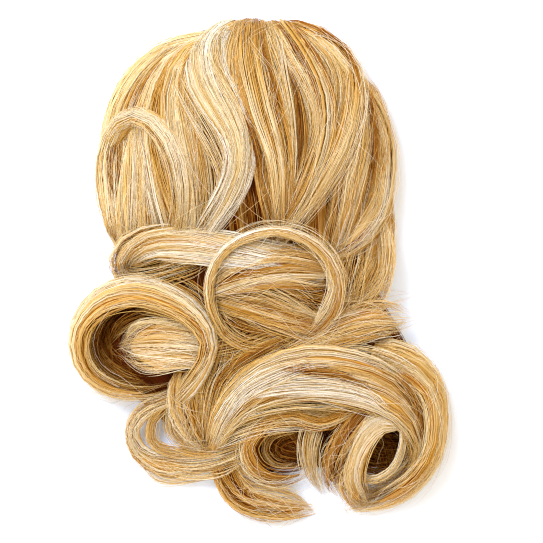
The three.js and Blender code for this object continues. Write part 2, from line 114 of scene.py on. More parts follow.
# Rolls and curls, a row for each section: X, Y, Z, width, thickness, and lean from flat to
# upright in degrees
CURLS = {
    "lower_left_loop": [
        (-38, -62, 17, 9, 7), (-53, -69, 13, 8, 6, 20), (-62, -79, 9, 8, 6, 30), (-59, -91, 6, 11, 6, 10),
        (-45, -98, 6, 16, 7), (-26, -95, 11, 11, 7),
    ],
    "bottom_tail": [
        (-19, -95, 9, 11, 8), (-9, -113, 7, 14, 9), (11, -119, 6, 12, 8), (30, -119.5, 4, 7, 5),
    ],
    "left_barrel": [
        (-38, -66, 22, 10, 5, 40), (-29, -52, 31, 14, 5, 60), (-24, -38, 37, 18, 5, 75),
        (-28, -26, 37, 20, 7, 65), (-40, -16, 35, 22, 10, 60), (-58, -10, 31, 26, 11, 60),
        (-75, -14, 26, 32, 11, 70), (-86, -25, 22, 36, 10, 80), (-89, -39, 20, 36, 10, 85),
        (-83, -52, 17, 32, 9, 85), (-70, -60, 15, 28, 8, 80), (-53, -61, 15, 26, 7, 80),
        (-38, -57, 17, 22, 6, 75),
    ],
    "left_barrel_inner": [
        (-20, -40, 31, 17, 9), (-36, -37, 34, 24, 10), (-50, -37, 33, 28, 9), (-60, -38, 30, 26, 7),
        (-67, -39, 26, 20, 5),
    ],
    "center_fan": [
        (-35, -50, 26, 14, 8), (-34, -64, 21, 22, 9), (-30, -77, 17, 18, 8), (-25, -89, 13, 10, 7),
    ],
    "cross_strands": [
        (42, -27, 27, 14, 8), (21, -37, 29, 19, 9), (2, -48, 29, 20, 9), (-13, -60, 25, 17, 9),
        (-22, -73, 19, 12, 8),
    ],
    "right_diagonal": [
        (14, -42, 31, 14, 8), (37, -32, 32, 18, 10), (57, -25, 29, 20, 10, 10), (73, -25, 20, 20, 9, 20),
    ],
    "small_curl": [
        (50, -64, 25, 12, 7, 20), (33, -74, 24, 14, 7, 40), (18, -71, 23, 14, 7, 45),
        (4, -76, 20, 15, 7, 55), (-4, -87, 15, 17, 7, 65), (-1, -98, 12, 17, 7, 65),
        (9, -104, 10, 15, 7, 60), (22, -102, 9, 12, 6, 55), (29, -94, 11, 10, 6, 50),
    ],
    "copper_lock": [
        (58, -67, 26, 10, 8), (47, -80, 25, 13, 9), (40, -94, 19, 13, 9), (37, -110, 8, 9, 7),
    ],
    "spiral_outer": [
        (58, -40, 24, 16, 9, -30), (75, -46, 24, 24, 10, -50), (87, -58, 21, 32, 9, -70),
        (90, -75, 19, 34, 9, -80), (87, -93, 17, 31, 9, -80), (77, -107, 14, 26, 8, -75),
        (64, -115, 10, 19, 8, -65), (51, -119, 6, 11, 7, -50),
    ],
    "spiral_inner": [
        (71, -75, 31, 10, 7, 20), (61, -76, 31, 12, 7, 30), (53, -86, 28, 16, 7, 50),
        (48, -101, 20, 20, 7, 55), (49.5, -112, 12, 16, 7, 40), (54, -120, 6, 12, 6, 25),
    ],
    "lower_sweep": [
        (-22, -89, 15, 8, 7), (-14, -70, 24, 16, 9, 10), (2, -57, 32, 24, 10, 10), (24, -51, 36, 28, 11, 5),
        (46, -53, 36, 29, 11), (65, -61, 33, 25, 11, -15), (77, -75, 29, 17, 9, -40),
        (80, -92, 24, 14, 7, -70), (71, -106, 17, 12, 7, -70),
    ],
    "ring_lower": [
        (-25, -13, 33, 9, 8), (-8, -17, 35, 14, 10), (11, -22, 35, 18, 10), (29, -27, 33, 17, 10),
        (44, -30, 28, 14, 8),
    ],
    "left_roll": [
        (34, -2, 36, 10, 6), (17, 4, 41, 16, 8), (-2, 8, 44, 18, 9), (-17, 10.5, 44, 19, 10),
        (-34, 13, 42, 19, 11), (-51, 14, 37, 18, 12, -20), (-63, 10, 30, 17, 12, -45),
        (-68, 3, 23, 17, 11, -60), (-64, -3, 18, 15, 10, -45), (-54, -5, 15, 12, 8),
    ],
    "ring_upper": [
        (-25, -9, 39, 10, 8), (-8, -2, 42, 18, 10), (10, 2, 43, 22, 10), (28, 1, 41, 21, 10),
        (43, -3, 37, 17, 9),
    ],
    "ring_curl": [
        (-15, -34, 33, 10, 6, -60), (-22, -21, 40, 11, 6, -65), (-24, -8, 45, 12, 6, -65),
        (-20, 5, 49, 12, 6, -65), (-9, 15, 51, 12, 7, -65), (9, 20, 52, 12, 7, -65),
        (26, 15, 51, 12, 8, -65), (37, 4, 49, 13, 9, -65), (41, -10, 46, 13, 9, -65),
        (37, -23, 42, 13, 9, -65), (27, -32, 37, 12, 8, -60), (14, -37, 33, 10, 7, -55),
    ],
}

# Thin wisps of loose strands between the locks: tone, share of copper, and rows as for the curls. The
# darkest are dark strands laid in hollows and gaps between the locks: painted shade
WISPS_AND_PAINTED_SHADE = (
    (0.5, 0.2, (-71, 1, 22, 10, 5), (-64, -3, 26, 12, 5), (-52, -2, 31, 14, 5), (-38, 2, 36, 14, 5),
     (-24, 6, 40, 12, 5)),
    (0.44, 0.2, (-62, -4, 24, 12), (-46, -7, 30, 14), (-32, -13, 36, 13), (-22, -22, 38, 10)),
    (0.46, 0.2, (-60, -17, 30, 9), (-47, -19, 33, 10), (-34, -28, 35, 10), (-26, -38, 36, 8)),
    (0.7, 0.2, (-24, -41, 36, 8), (-29, -51, 31, 8), (-37, -61, 25, 9), (-38, -74, 20, 9),
     (-27, -88, 15, 7)),
    (0.52, 0.2, (-17, -31, 34, 12, 5), (-22, -46, 31, 15, 5), (-27, -64, 25, 14, 5), (-26, -84, 18, 8)),
    (0.44, 0.2, (-9, -46, 32, 12, 5), (-17, -56, 29, 13, 5), (-22, -71, 24, 10, 5), (-24, -87, 17, 7)),
    (0.6, 0.2, (-46, -64, 18, 6), (-59, -70, 13, 5), (-64, -83, 8, 5), (-57, -92, 6, 6), (-41, -93, 8, 6),
     (-23, -89, 14, 5)),
    (0.45, 0.2, (-45, -69, 17, 5, 3), (-52, -76, 13, 5, 3), (-51, -87, 10, 5, 3), (-38, -91, 11, 6, 3),
     (-24, -88, 15, 5, 3)),
    (0.62, 0.2, (-56, -93, 5, 6), (-52, -102, 4, 8), (-41, -104.5, 5, 8), (-27, -102, 8, 8),
     (-17, -97, 12, 6)),
    (0.55, 0.2, (-47, -93, 7, 8), (-37, -99.5, 8, 9), (-22, -100, 11, 9), (-9, -96, 14, 7)),
    (0.7, 0.2, (-4, -108.5, 10, 6, 3), (8, -110, 9, 7, 3), (19, -113.5, 7, 6, 3), (27, -120, 4, 5, 3)),
    (0.36, 0.2, (-17, -106, 9, 7), (-10, -116, 7, 7), (4, -122, 5, 7), (24, -123, 4, 5, 3)),
    (0.62, 0.2, (-23, -88, 16, 6), (-9, -80, 22, 10), (11, -75, 27, 12), (34, -75, 28, 12)),
    (0.62, 0.2, (29, -75, 26, 12), (25.5, -87, 20, 10), (27, -99.5, 13, 9), (32, -110, 7, 7)),
    (0.32, 0.2, (44.6, -80, 26, 8), (39.5, -93, 20, 9), (38, -104.6, 12, 8), (41, -112, 7, 6)),
    (0.5, 0.2, (63, 16, 22, 12, 5, 40), (63, 2, 22, 14, 5, 40), (60, -10, 22, 14, 5, 40),
     (53, -19, 24, 12, 5, 20)),
    (0.52, 0.2, (60, 8, 30, 14, 5), (54, -5, 31, 17, 5), (46, -16, 31, 16, 5), (36, -25, 31, 12, 5)),
    (0.46, 0.2, (50, 12, 33, 14, 5), (46, -2, 34, 17, 5), (44, -14, 32, 16, 5), (46, -25, 30, 12, 5)),
    (0.62, 0.2, (64, 24, 26, 8, 4, 30), (66, 10, 25, 9, 4, 30), (63, -4, 26, 9, 4, 30),
     (52, -12, 31, 8, 4, 10), (41, -14, 36, 7)),
    (0.55, 0.2, (6, -45, 33, 10, 5), (29, -32, 34, 13, 5), (55, -17, 30, 14, 5), (71, -13, 24, 12)),
    (0.6, 0.2, (42, -36, 33, 12), (61, -25.5, 29, 15), (76.5, -24, 22, 16)),
    (0.6, 0.2, (42, -41, 37, 12, 4, -10), (61, -43.5, 35, 12, 4, -20), (78, -53.6, 31, 12, 4, -30),
     (87, -69, 27, 11, 4, -50), (85, -87, 23, 10, 4, -60)),
    (0.72, 0.2, (72.7, -71.5, 33, 5, 3, -40), (74, -84, 30, 5, 3, -50), (70, -97, 26, 5, 3, -50),
     (60, -104.6, 22, 5, 3, -50), (52, -102, 22, 5, 3, -50), (52, -89, 27, 5, 3, -40),
     (58.7, -79, 31, 5, 3, -30), (67.6, -74, 33, 5, 3, -30)),
    (0.66, 0.2, (80, -102, 14, 8), (67.6, -112, 9, 8), (55, -117, 6, 7), (48.4, -116, 5, 6)),
    (0.72, 0.2, (30.6, 12.7, 51, 4, 3, -40), (37, 2.5, 49, 4, 3, -40), (37, -11.5, 47, 4, 3, -40),
     (29.3, -25.5, 43, 4, 3, -40)),
    (0.52, 0.2, (-16.6, -6.4, 42, 10), (3.8, -9, 43, 12), (23, -18, 40, 11), (34.4, -25.5, 35, 9)),
    (0.5, 0.2, (-23, -15, 38, 8), (-16.6, -28, 36, 9), (-6.4, -35.7, 34, 8), (7.6, -37, 32, 8)),
    (0.42, 0.2, (-25.5, -41, 33, 11, 5), (-9, -37, 33, 13, 5), (10, -29, 33, 12, 5), (23, -25.5, 32, 9, 5)),
    # Painted shade: dark strands down the left barrel's inner wall, for the shade of its hollow
    (0.16, 0.5, (-70, -17, 22, 6, 5, 70), (-79, -24, 18, 6, 5, 70), (-83, -37, 15, 6, 5, 70),
     (-79, -48, 13, 6, 5, 70), (-70, -54, 12, 6, 5, 70), (-56, -56, 12, 6, 5, 70)),
    (0.12, 0.6, (-68, -21, 16, 6, 5, 60), (-75, -27, 13, 6, 5, 60), (-78, -37, 10, 6, 5, 60),
     (-75, -46, 9, 6, 5, 60), (-67, -50, 9, 6, 5, 60)),
    (0.26, 0.4, (-46, -21, 30, 8, 4, 30), (-58, -22, 26, 8, 4, 30), (-68, -27, 20, 8, 4, 30),
     (-73, -35, 14, 6, 4, 30)),
    (0.5, 0.3, (85, -80, 16, 9, 6, -40), (81, -93, 13, 10, 6, -40), (73, -104, 10, 10, 6, -30),
     (61, -111, 8, 9, 5, -20)),
    # Painted shade: dark strands in the hollows of the spiral and the small curl
    (0.22, 0.5, (48, -97, 9, 10, 5), (59, -101, 8, 12, 5), (70, -99, 7, 12, 5), (79, -90, 7, 10, 5)),
    (0.14, 0.5, (56, -82, 14, 10, 5), (64, -90, 11, 13, 5), (66, -101, 8, 10, 5)),
    (0.36, 0.4, (20, -79, 18, 5, 4, 50), (8, -82, 15, 5, 4, 50), (4, -90, 12, 5, 4, 50),
     (10, -97, 9, 5, 4, 50), (20, -97, 8, 5, 4, 50)),
    (0.16, 0.5, (22, -82, 13, 6, 4, 40), (12, -86, 11, 6, 4, 40), (12, -92, 9, 6, 4, 40),
     (22, -94, 8, 6, 4, 40)),
    (0.1, 0.5, (4, -80, 10, 14), (15, -88, 10, 16), (28, -91, 9, 12)),
    (0.46, 0.25, (-44, -66, 18, 6), (-50, -72, 14, 5), (-53.5, -79, 10, 4), (-52.5, -87, 8, 4),
     (-42, -91, 9, 6)),
    (0.52, 0.25, (-42, -67, 17, 7), (-44, -76, 13, 6), (-41, -84, 11, 6), (-32, -90, 12, 6)),
    # Painted shade: dark strands along the gap between the ring's lower edge and the lower sweep
    (0.24, 0.5, (-24, -62, 26, 6), (-12, -50, 31, 7), (2, -41, 33, 7), (16, -33, 33, 6)),
    (0.32, 0.4, (-20, -55, 29, 6), (-6, -45, 33, 7), (10, -36.5, 34, 6), (26, -31, 33, 5)),
    (0.56, 0.15, (-46, -94, 8, 8), (-32, -95, 11, 9), (-18, -92, 14, 9), (-4, -87, 17, 7)),
    (0.48, 0.2, (-42, -88, 11, 7), (-29, -91, 13, 8), (-15, -90, 15, 7)),
    (0.56, 0.2, (44, -97, 15, 10, 4, 20), (46, -107, 10, 12, 4, 10), (52, -115, 6, 11), (62, -117, 5, 8)),
    (0.6, 0.15, (82, -96, 13, 9, 4, -30), (72, -107, 9, 11, 4, -10), (59, -114, 6, 11), (47, -119, 4, 8)),
    (0.26, 0.5, (68, -50, 36, 4, 3, -20), (79, -62, 33, 5, 3, -40), (82, -78, 30, 5, 3, -50),
     (80, -93, 25, 4, 3, -60)),
    (0.5, 0.25, (-38, -69, 18, 9), (-39, -79, 15, 9), (-32, -89, 13, 7)),
    (0.6, 0.15, (-20, -85, 19, 6), (-7, -71, 27, 9), (13, -64.5, 32, 11), (36, -64, 34, 11),
     (56, -69, 33, 9)),
    (0.54, 0.2, (-2, -79, 19, 8, 4, 30), (-10, -88, 15, 9, 4, 30), (-9, -98, 11, 10, 4, 30),
     (0, -106, 9, 9, 4, 20), (13, -108, 8, 7, 4, 10)),
    (0.42, 0.3, (-12, -84, 14, 9), (-13, -94, 11, 10), (-6, -103, 9, 9), (6, -109, 8, 7)),
    (0.58, 0.2, (31, -77, 26, 9), (28, -88, 20, 8), (28, -99, 13, 7), (31, -108, 8, 6)),
    # Painted shade: dark strands in the spiral's hollow
    (0.15, 0.5, (50, -90, 11, 14), (62, -94, 9, 16), (74, -94, 9, 14)),
    (0.13, 0.5, (54, -84, 13, 12), (63, -87, 12, 14), (73, -86, 12, 12)),
    (0.17, 0.5, (54, -100, 8, 10), (63, -101, 7, 11), (72, -98, 7, 10)),
    # Painted shade: dark strands on the floor of the left barrel's hollow
    (0.16, 0.5, (-84, -34, 10, 10), (-76, -44, 10, 12), (-62, -50, 11, 12), (-46, -51, 13, 10)),
    (0.18, 0.5, (-78, -28, 13, 8), (-74, -40, 12, 10), (-64, -48, 12, 10), (-50, -53, 13, 8)),
    (0.26, 0.4, (10, -8, 40, 6), (24, -11, 39, 8), (36, -14, 37, 8), (46, -18, 33, 6)),
    (0.28, 0.4, (-18, -20, 37, 6), (-8, -25, 36, 8), (4, -28, 35, 8), (16, -31, 34, 6)),
    # Painted shade: a dark strip in the gap between two bands of the lower sweep
    (0.24, 0.6, (12, -49, 41, 2, 2), (24, -49.5, 42.5, 3.5, 2), (38, -51, 42.5, 4, 2),
     (50, -55, 41, 3.5, 2), (60, -60, 38.5, 2, 2)),
    (0.88, 0, (-3, -62, 37, 6, 2.5), (13, -58.5, 40, 8, 2.5), (30, -57.5, 42, 9, 2.5),
     (47, -59.5, 42, 8, 2.5), (61, -65.5, 39.5, 6, 2.5), (68, -73.5, 35, 4, 2.5)),
    (0.44, 0.3, (-64, 16, 17, 10, 5), (-67, 7, 16, 10, 5), (-67, -1, 15, 10, 5), (-62, -7, 16, 10, 5)),
    (0.36, 0.3, (-64, 12, 20, 9, 5), (-67, 5, 19, 9, 5), (-66, -2, 17, 10, 5), (-60, -8, 17, 10, 5)),
    (0.5, 0.2, (45, -102, 6, 10), (53, -108, 5, 12), (62, -109, 5, 12), (71, -105, 6, 9)),
    (0.86, 0, (-16, -76, 27, 4, 2.5), (-6, -62, 36, 7, 2.5), (8, -54, 40, 8, 2.5), (24, -48, 41.5, 6, 2.5),
     (42, -46, 40, 4, 2.5)),
)

# Thickness and lean of the curls' and wisps' rows that leave them out
ROW_ENDS = (4, 0)

# Wisps on the crown: tone, share of copper, and rows as for the crown's locks. The darkest are dark strands
# laid over the gaps between the crown's locks: painted shade
CROWN_WISPS_AND_PAINTED_SHADE = (
    (0.64, 0.1, (-40, 98, 2, 8, 5), (-35, 88, 3, 10, 6), (-28, 76, 3, 12, 6), (-21, 64, 3, 12, 6),
     (-16, 52, 3, 10, 6), (-17, 38, 2.5, 8, 5), (-24, 24, 2, 8, 5)),
    (0.5, 0.2, (-30, 100, 1, 8, 5), (-34, 84, 1.5, 11, 5), (-33, 67, 2, 12, 5), (-29, 50, 2, 11, 5),
     (-28, 33, 2, 10, 5), (-34, 14, 2, 8, 5)),
    (0.55, 0.2, (14, 122, 1, 6, 5), (25, 114, 2, 8, 5), (34, 104, 2, 9, 6), (38, 92, 2, 9, 6),
     (37, 78, 2, 9, 6), (31, 60, 2, 8, 6)),
    (0.52, 0.2, (3, 123.5, 1, 9, 5), (4, 119, 1.5, 9, 6), (8, 107, 1.5, 10, 6), (13, 92, 1.5, 9, 6),
     (16, 78, 1.5, 7, 5), (17, 60, 1, 6, 5)),
    (0.66, 0.15, (8.5, 122.5, 1, 5, 5), (11, 108, 2, 6, 6), (13, 94, 2, 6, 6), (16, 78, 2, 6, 6),
     (17, 62, 2, 6, 6), (16, 46, 2, 6, 6), (14, 30, 2, 5, 5)),
    # Painted shade: the narrow, dark rows from here on are dark strands laid along the gaps between the
    # crown's locks
    (0.18, 0.3, (-66, 71, 3, 3, 6), (-68, 58, 3.5, 4, 6), (-68.5, 45, 3.5, 4, 6), (-66, 32, 3, 3, 6)),
    (0.34, 0.4, (-45, 102, 2, 2.5, 6), (-52, 93, 2.5, 3.5, 6), (-58, 82, 2.5, 3, 6)),
    (0.16, 0.5, (14, 100, 3.5, 2, 4), (19, 86, 4.5, 3.5, 4), (21, 72, 4.5, 5, 4), (21.5, 58, 4, 4, 4),
     (19, 44, 3.5, 2.5, 4)),
    (0.34, 0.4, (50, 93, 2, 2.5, 6), (53.5, 80, 2.5, 3.5, 6), (54, 66, 2.5, 3.5, 6), (53, 50, 2.5, 3, 6)),
    (0.18, 0.5, (-6.5, 80, 5, 2.5, 4), (-2, 68, 6, 4, 4), (1, 56, 6, 4, 4), (2, 42, 5, 3, 4)),
    (0.26, 0.5, (-6, 42, 1, 8, 5), (-4, 26, 1.5, 9, 5), (-3, 8, 2, 8, 5)),
    (0.26, 0.5, (26, 36, 1, 8, 5), (24, 22, 1.5, 9, 5), (22, 6, 2, 8, 5)),
    (0.4, 0.5, (-6, 96, 1.5, 7, 6), (-2, 80, 2, 8, 6), (4, 64, 2, 8, 6), (9, 48, 2, 7, 6),
     (11, 32, 2, 6, 5), (10, 16, 2, 6, 5)),
    (0.34, 0.5, (52, 95, 3, 3, 6), (58, 82, 3.5, 5, 6), (60, 68, 3.5, 6, 6), (58, 52, 3.5, 6, 6),
     (54, 36, 3, 5, 6)),
    (0.2, 0.6, (49.5, 92, 6, 2, 3), (51.5, 81, 6.5, 5, 3), (53, 68, 6.5, 8, 3), (53, 54, 6.5, 7, 3),
     (52, 42, 6, 4, 3)),
    (0.6, 0.15, (-64, 92, 1.5, 8, 6), (-70, 76, 2, 8, 6), (-73, 58, 2, 8, 6), (-72, 38, 2, 8, 6),
     (-67, 20, 2, 8, 6)),
)

# Share of the locks' size that their strands lie at
SIZES = {"ring_curl": 0.48, "lower_left_loop": 0.7, "left_barrel": 0.85}
CURL_SIZE = 0.92

# Each lock's mean tone from 0 dark to 1 pale, how it shifts from root to tip, and its share of copper
TONES = {
    "crown_shell": (0.35, 0.0, 0.3),
    "under_hair": (0.2, 0.0, 0.35),
    "crown_left_outer": (0.57, 0.1, 0.0),
    "crown_left_mid": (0.61, 0.0, 0.05),
    "crown_right_mid": (0.53, 0.0, 0.25),
    "right_side": (0.53, 0.0, 0.2),
    "crown_right_outer": (0.53, 0.05, 0.25),
    "crown_center": (0.48, 0.0, 0.3),
    "crown_center_right": (0.46, 0.0, 0.25),
    "light_swoop": (0.82, 0.0, -0.15),
    "right_swoop": (0.47, 0.1, 0.2),
    "left_loop_inner": (0.66, 0.0, 0.0),
    "left_loop": (0.63, 0.0, 0.0),
    "lower_left_loop": (0.61, 0.1, 0.1),
    "bottom_tail": (0.50, 0.3, 0.3),
    "left_barrel": (0.62, 0.0, 0.1),
    "left_barrel_inner": (0.73, 0.0, -0.05),
    "center_fan": (0.58, 0.0, 0.05),
    "cross_strands": (0.42, 0.0, 0.35),
    "right_diagonal": (0.57, 0.0, 0.25),
    "small_curl": (0.37, 0.0, 0.3),
    "copper_lock": (0.36, 0.0, 0.9),
    "spiral_outer": (0.58, 0.0, 0.15),
    "spiral_inner": (0.62, -0.25, 0.05),
    "lower_sweep": (0.58, 0.0, 0.1),
    "ring_lower": (0.46, 0.0, 0.25),
    "left_roll": (0.86, -0.6, 0.1),
    "ring_upper": (0.58, 0.0, 0.25),
    "ring_curl": (0.58, 0.0, 0.12),
}

# Form of the locks: shares of the length over which they open and close, and their sizes at the ends
OPENING = 0.07
CLOSING = 0.2
CURL_ENDS = (0.8, 0.35)
CROWN_ENDS = (0.85, 0.5)
CROWN_SPREAD = 1.1  # how far a crown lock's strands spread, in its half widths
CROWN_ROUNDING = 0.8
CROWN_UNDERSIDE = -1.2
EDGE_SPEED = 0.35  # least share of its half width that a radian moves a strand by
FOOT_LIMIT = 0.985  # cosine of the angle that its middle keeps off the dome's feet
ARCH_TURN = 90.0
SLOPE_STEP = 1.0
SPINE_SAMPLES = 240

# Strands, in millimetres
STRAND_RADIUS = (0.07, 0.16)
TIP_RADIUS = 0.015
STRAND_TAPER = (0.05, 0.2, 0.25, 0.05)  # length and size of the thin start, then of the thin tip
STRAND_SIDES = 3
CROWN_DENSITY = 12.0  # strands for each millimetre across a crown lock
CURL_DENSITY = 7.0  # strands for each millimetre round a curl
SHELL_DENSITY = 2.5
FOOT_DENSITY = 8.0
MOUND_DENSITY = 1.0
WAVE_HEIGHT = (0.02, 0.10)
WAVE_LENGTH = (34.0, 80.0)
SIDE_WAVE = 1.6  # size of the waves along the surface and off it, in wave heights
HIGH_WAVE = 0.5
STRAND_HEIGHT = (-0.15, 0.25)
STRAND_SPREAD = 0.5  # how far strands lie from the middle of a smaller lock, in its widths
LOW_SHARE = 0.3  # strands that lie between the smaller locks, painted darker as shade in the gaps
LOW_HEIGHT = -0.3
LOOSE_SHARE = 0.14
LOOSE_HEIGHT = 2.4
LOOSE_DRIFT = 4.0
LOOSE_SPREAD = 2.5
LOOSE_WAVE = 4.0
LIFT_SHARE = (0.1, 1.0)  # share of that height, its beat, and how soon it sets in
LIFT_BEAT = 0.7
LIFT_OPENING = 8.0
LEAST_SPEED = 1.0
STRAND_ENDS = 0.12  # share of a lock's length over which the strands of one smaller lock end
START_SHIFT = 0.7  # most of the first segment that a strand's start leaves out
LEAST_SEGMENT = 0.3  # least length of a strand's last segment, in segments
CROWN_DEGREES = 16.0  # turn for each segment of a strand
CURL_DEGREES = 13.0
SEGMENT_RANGE = (9, 40)

# Smaller locks that a lock's strands gather into, in millimetres
CLUMP_WIDTH = 2.8
CLUMPS_LEAST = 4
CLUMP_PLACES = (0.1, 0.9)
CLUMP_SIZES = (0.6, 1.5)
CLUMP_HEIGHT = (-0.3, 0.9)
CLUMP_ROUND = 0.6
CLUMP_GATHER = 0.6  # how much narrower they grow towards their tips
GATHER_START = 0.3
GATHER_POWER = 1.5
CLUMP_SWAY = 1.0
CLUMP_WAVE = (50.0, 130.0)
CLUMP_DRIFT = 2.0
CLUMP_OFFSET = 0.8  # how far their vertices are moved along, in segments
CLUMP_TONE_REACH = 4.0  # how far off across its lock each one takes its tone
FULL_SWAY_ROUND = 40.0  # in locks that measure less round, they stand out and sway less
FRAY = 0.35  # share of a lock's length over which its smaller locks end
FRAY_POWER = 1.8
OVERSHOOT = 0.06  # share of the length by which the longest reach past their lock's end

# Strands of the wisps, in millimetres and in shares of a wisp's length
WISP_STRANDS = 50
CROWN_WISP_STRANDS = 56
WISP_PIECES = 3
WISP_SEGMENTS = 8
WISP_TAPER = (0.08, 0.15, 0.25, 0.05)
WISP_WAVE = (0.15, 0.7)
WISP_BEAT = 0.8
WISP_START = 0.25
WISP_END = 1.1
WISP_FRAY = 0.4
WISP_FRAY_POWER = 1.5
WISP_TWIST = 0.5
WISP_FILL = (0.02, 1.3)
WISP_TONES = 0.14  # how much the tones of a wisp's strands differ
WISP_COPPER = 0.2
TONE_LIMITS = (0.02, 0.98)
COPPER_LIMITS = (0.0, 0.95)

# Hairs that stray off the locks, in millimetres and in shares of a lock's length
STRAY_COUNT = 900
STRAY_SEGMENTS = 14
STRAY_RADIUS = (0.05, 0.09)
STRAY_TAPER = (0.08, 0.2, 0.3, 0.1)
STRAY_TONE = 0.68  # their mean tone, and how much it differs
STRAY_TONES = 0.16
STRAY_TONE_LIMITS = (0.1, 0.98)
STRAY_COPPER = (0.0, 0.4)
STRAY_START = (0.0, 0.6)
STRAY_LENGTH = (0.25, 0.8)
STRAY_END = 1.12
STRAY_BEAT = (2.0, 5.0)
STRAY_SLIDE = (1.0, 7.0)
STRAY_OPENING = 3.0
STRAY_LEAST_SPEED = 3.0
STRAY_HEIGHT = 6.0
STRAY_BASE = 0.6
STRAY_PEAK = (0.5, 1.0)
STRAY_ROUNDING = 1.3

# Hairs that cross the crown or a curl: how many, how high in millimetres, and their turn in radians
CROWN_CROSSINGS = (56, (7.0, 11.0), 0.25)
CURL_CROSSINGS = (10, (0.8, 3.6), 0.9)
CROSSING_START = (0.08, 0.7)
CROSSING_LENGTH = (0.1, 0.35)
CROSSING_MIDDLE = (0.35, 2.8)
CROSSING_LIMITS = (0.1, 3.0)
CROSSING_BENDS = ((0.14, 3), (0.02, 7))  # size in radians, and beat
CROSSING_SWELL = 0.2  # share of the height, and its beat
CROSSING_SWELL_BEAT = 5

# Cores: closed bodies under the strands, grooved into smaller locks
CORE_INSET = 0.5
CORE_END = 0.9
CORE_CLOSING = 0.3
CORE_LEAST = 0.02
CORE_SIDE_WIDTH = 0.9
GROOVE_DEPTH = 0.9
GROOVE_WIDTH = 2.6
GROOVES_LEAST = (3, 2)
WIDE_GROOVES = 0.6  # wider grooves for each narrow one
GROOVE_DRIFT = 1.2
GROOVE_BEND = 0.5
GROOVE_BEAT = 5
GROOVE_ROUNDING = 0.7
# Painted shade: cores and low strands, which lie in the gaps between the smaller locks, are painted darker
# by this much in tone
CORE_PAINTED_SHADE = 0.25
INNER_TONE_AND_SHADE = 0.32  # how much darker the inner side of a curl is: partly its own less bleached hair, partly painted shade in its hollow
ARCH_ROWS = 40
ARCH_SIDES = 121
SHELL_THICKNESS = 6.0
MOUND_THICKNESS = 8.0
FLOOR_CLEARANCE = 0.2

# Angles round a section that strands cover, from the right edge over the top
FULL_ARC = (0.0, TURN)
FLAT_ARC = (-0.6, math.pi + 0.6)
CROWN_ARC = (-0.1, math.pi + 0.1)
CROWN_WISP_ARC = (0.2, math.pi - 0.2)
ARCH_ARC = (0.02, math.pi - 0.02)
FOOT_ARCS = ((0.02, 0.4), (math.pi - 0.4, math.pi - 0.02))
FLAT_CURLS = ("bottom_tail", "left_barrel_inner", "center_fan", "cross_strands", "right_diagonal",
              "copper_lock", "ring_lower", "ring_upper", "lower_left_loop")

# UV layout: strands lie in the lower half, and cores and low strands in the upper half, painted darker as
# shade in the gaps between the smaller locks
LENGTH_IN_UV = 0.44
CORE_IN_UV = 0.51
CAP_IN_UV = 0.002
STRAND_IN_UV = 0.1  # half width of a strand, in millimetres
TONE_SHARE = 0.3  # how much of its place in a smaller lock sets a strand's tone
TONE_SPREAD = 0.25

# Seeds of the random numbers, and of the noise by lock and by streak
SHELL_SEED = 1
MOUND_SEED = 2
CROWN_SEED = 10
CURL_SEED = 40
LOOSE_SEED = 80
LOCK_STEP = 7.3
STREAK_STEP = 2.1

# Streaks of tone in the fibre: width across and length along in millimetres, and strength
STREAKS = (
    (6.0, 110.0, 0.46),
    (1.8, 90.0, 0.75),
    (0.5, 60.0, 0.72),
)
COPPER_STREAK = (2.0, 90.0, 0.7)

# Colours from dark brown, also used for the painted shade in gaps, to pale cream streaks, as 0 to 255
# screen values
TONE_COLORS = (
    (0.00, (86, 33, 3)),
    (0.18, (162, 98, 29)),
    (0.36, (210, 158, 64)),
    (0.55, (227, 193, 121)),
    (0.75, (237, 219, 178)),
    (1.00, (246, 239, 224)),
)
COPPER_COLORS = (
    (0.00, (68, 22, 2)),
    (0.18, (136, 73, 16)),
    (0.36, (192, 130, 46)),
    (0.55, (217, 171, 92)),
    (0.75, (233, 203, 138)),
    (1.00, (243, 225, 178)),
)
FIBRE_ROUGHNESS = 0.5
FIBRE_SPECULAR = 0.04
CLIP_COLOR = (107, 74, 44)
CLIP_SHADES = (0.8, 1.2)
CLIP_GRAIN = 60.0
CLIP_ROUGHNESS = 0.38
FLOOR_COLOR = (232, 241, 251)
FLOOR_ROUGHNESS = 0.8
FLOOR_SPECULAR = 0.1
FLOOR_GLOW = 0.12

# Camera and light, in metres
PHOTO_WIDTH = 0.2715
PHOTO_CENTER = (0.0075, -0.00025)
CAMERA_DISTANCE = 4.0
CAMERA_REACH = 100.0
FOCUS_HEIGHT = 0.03
SENSOR = 36.0
KEY_PLACE = (-0.6, 0.65, 1.4)
KEY_SIZE = 0.9
KEY_POWER = 29.0
KEY_COLOR = (0.82, 0.98, 1.34)
WORLD_COLOR = (1.0, 0.9, 0.8)
WORLD_STRENGTH = 1.27
FLOOR_SIZE = 12.0
PIXEL_FILTER = 1.2


# Curves

def unit(vectors):
    return vectors / np.maximum(np.linalg.norm(vectors, axis=-1, keepdims=True), 1e-12)


def dot(first, second):
    return np.sum(first * second, axis=-1, keepdims=True)


def steps_of(path):
    return np.linalg.norm(np.diff(path, axis=0), axis=1)


def ellipse_speed(angle, half_wide, half_high):
    """How far a radian moves along an ellipse."""
    return np.sqrt((half_wide * np.sin(angle)) ** 2 + (half_high * np.cos(angle)) ** 2)


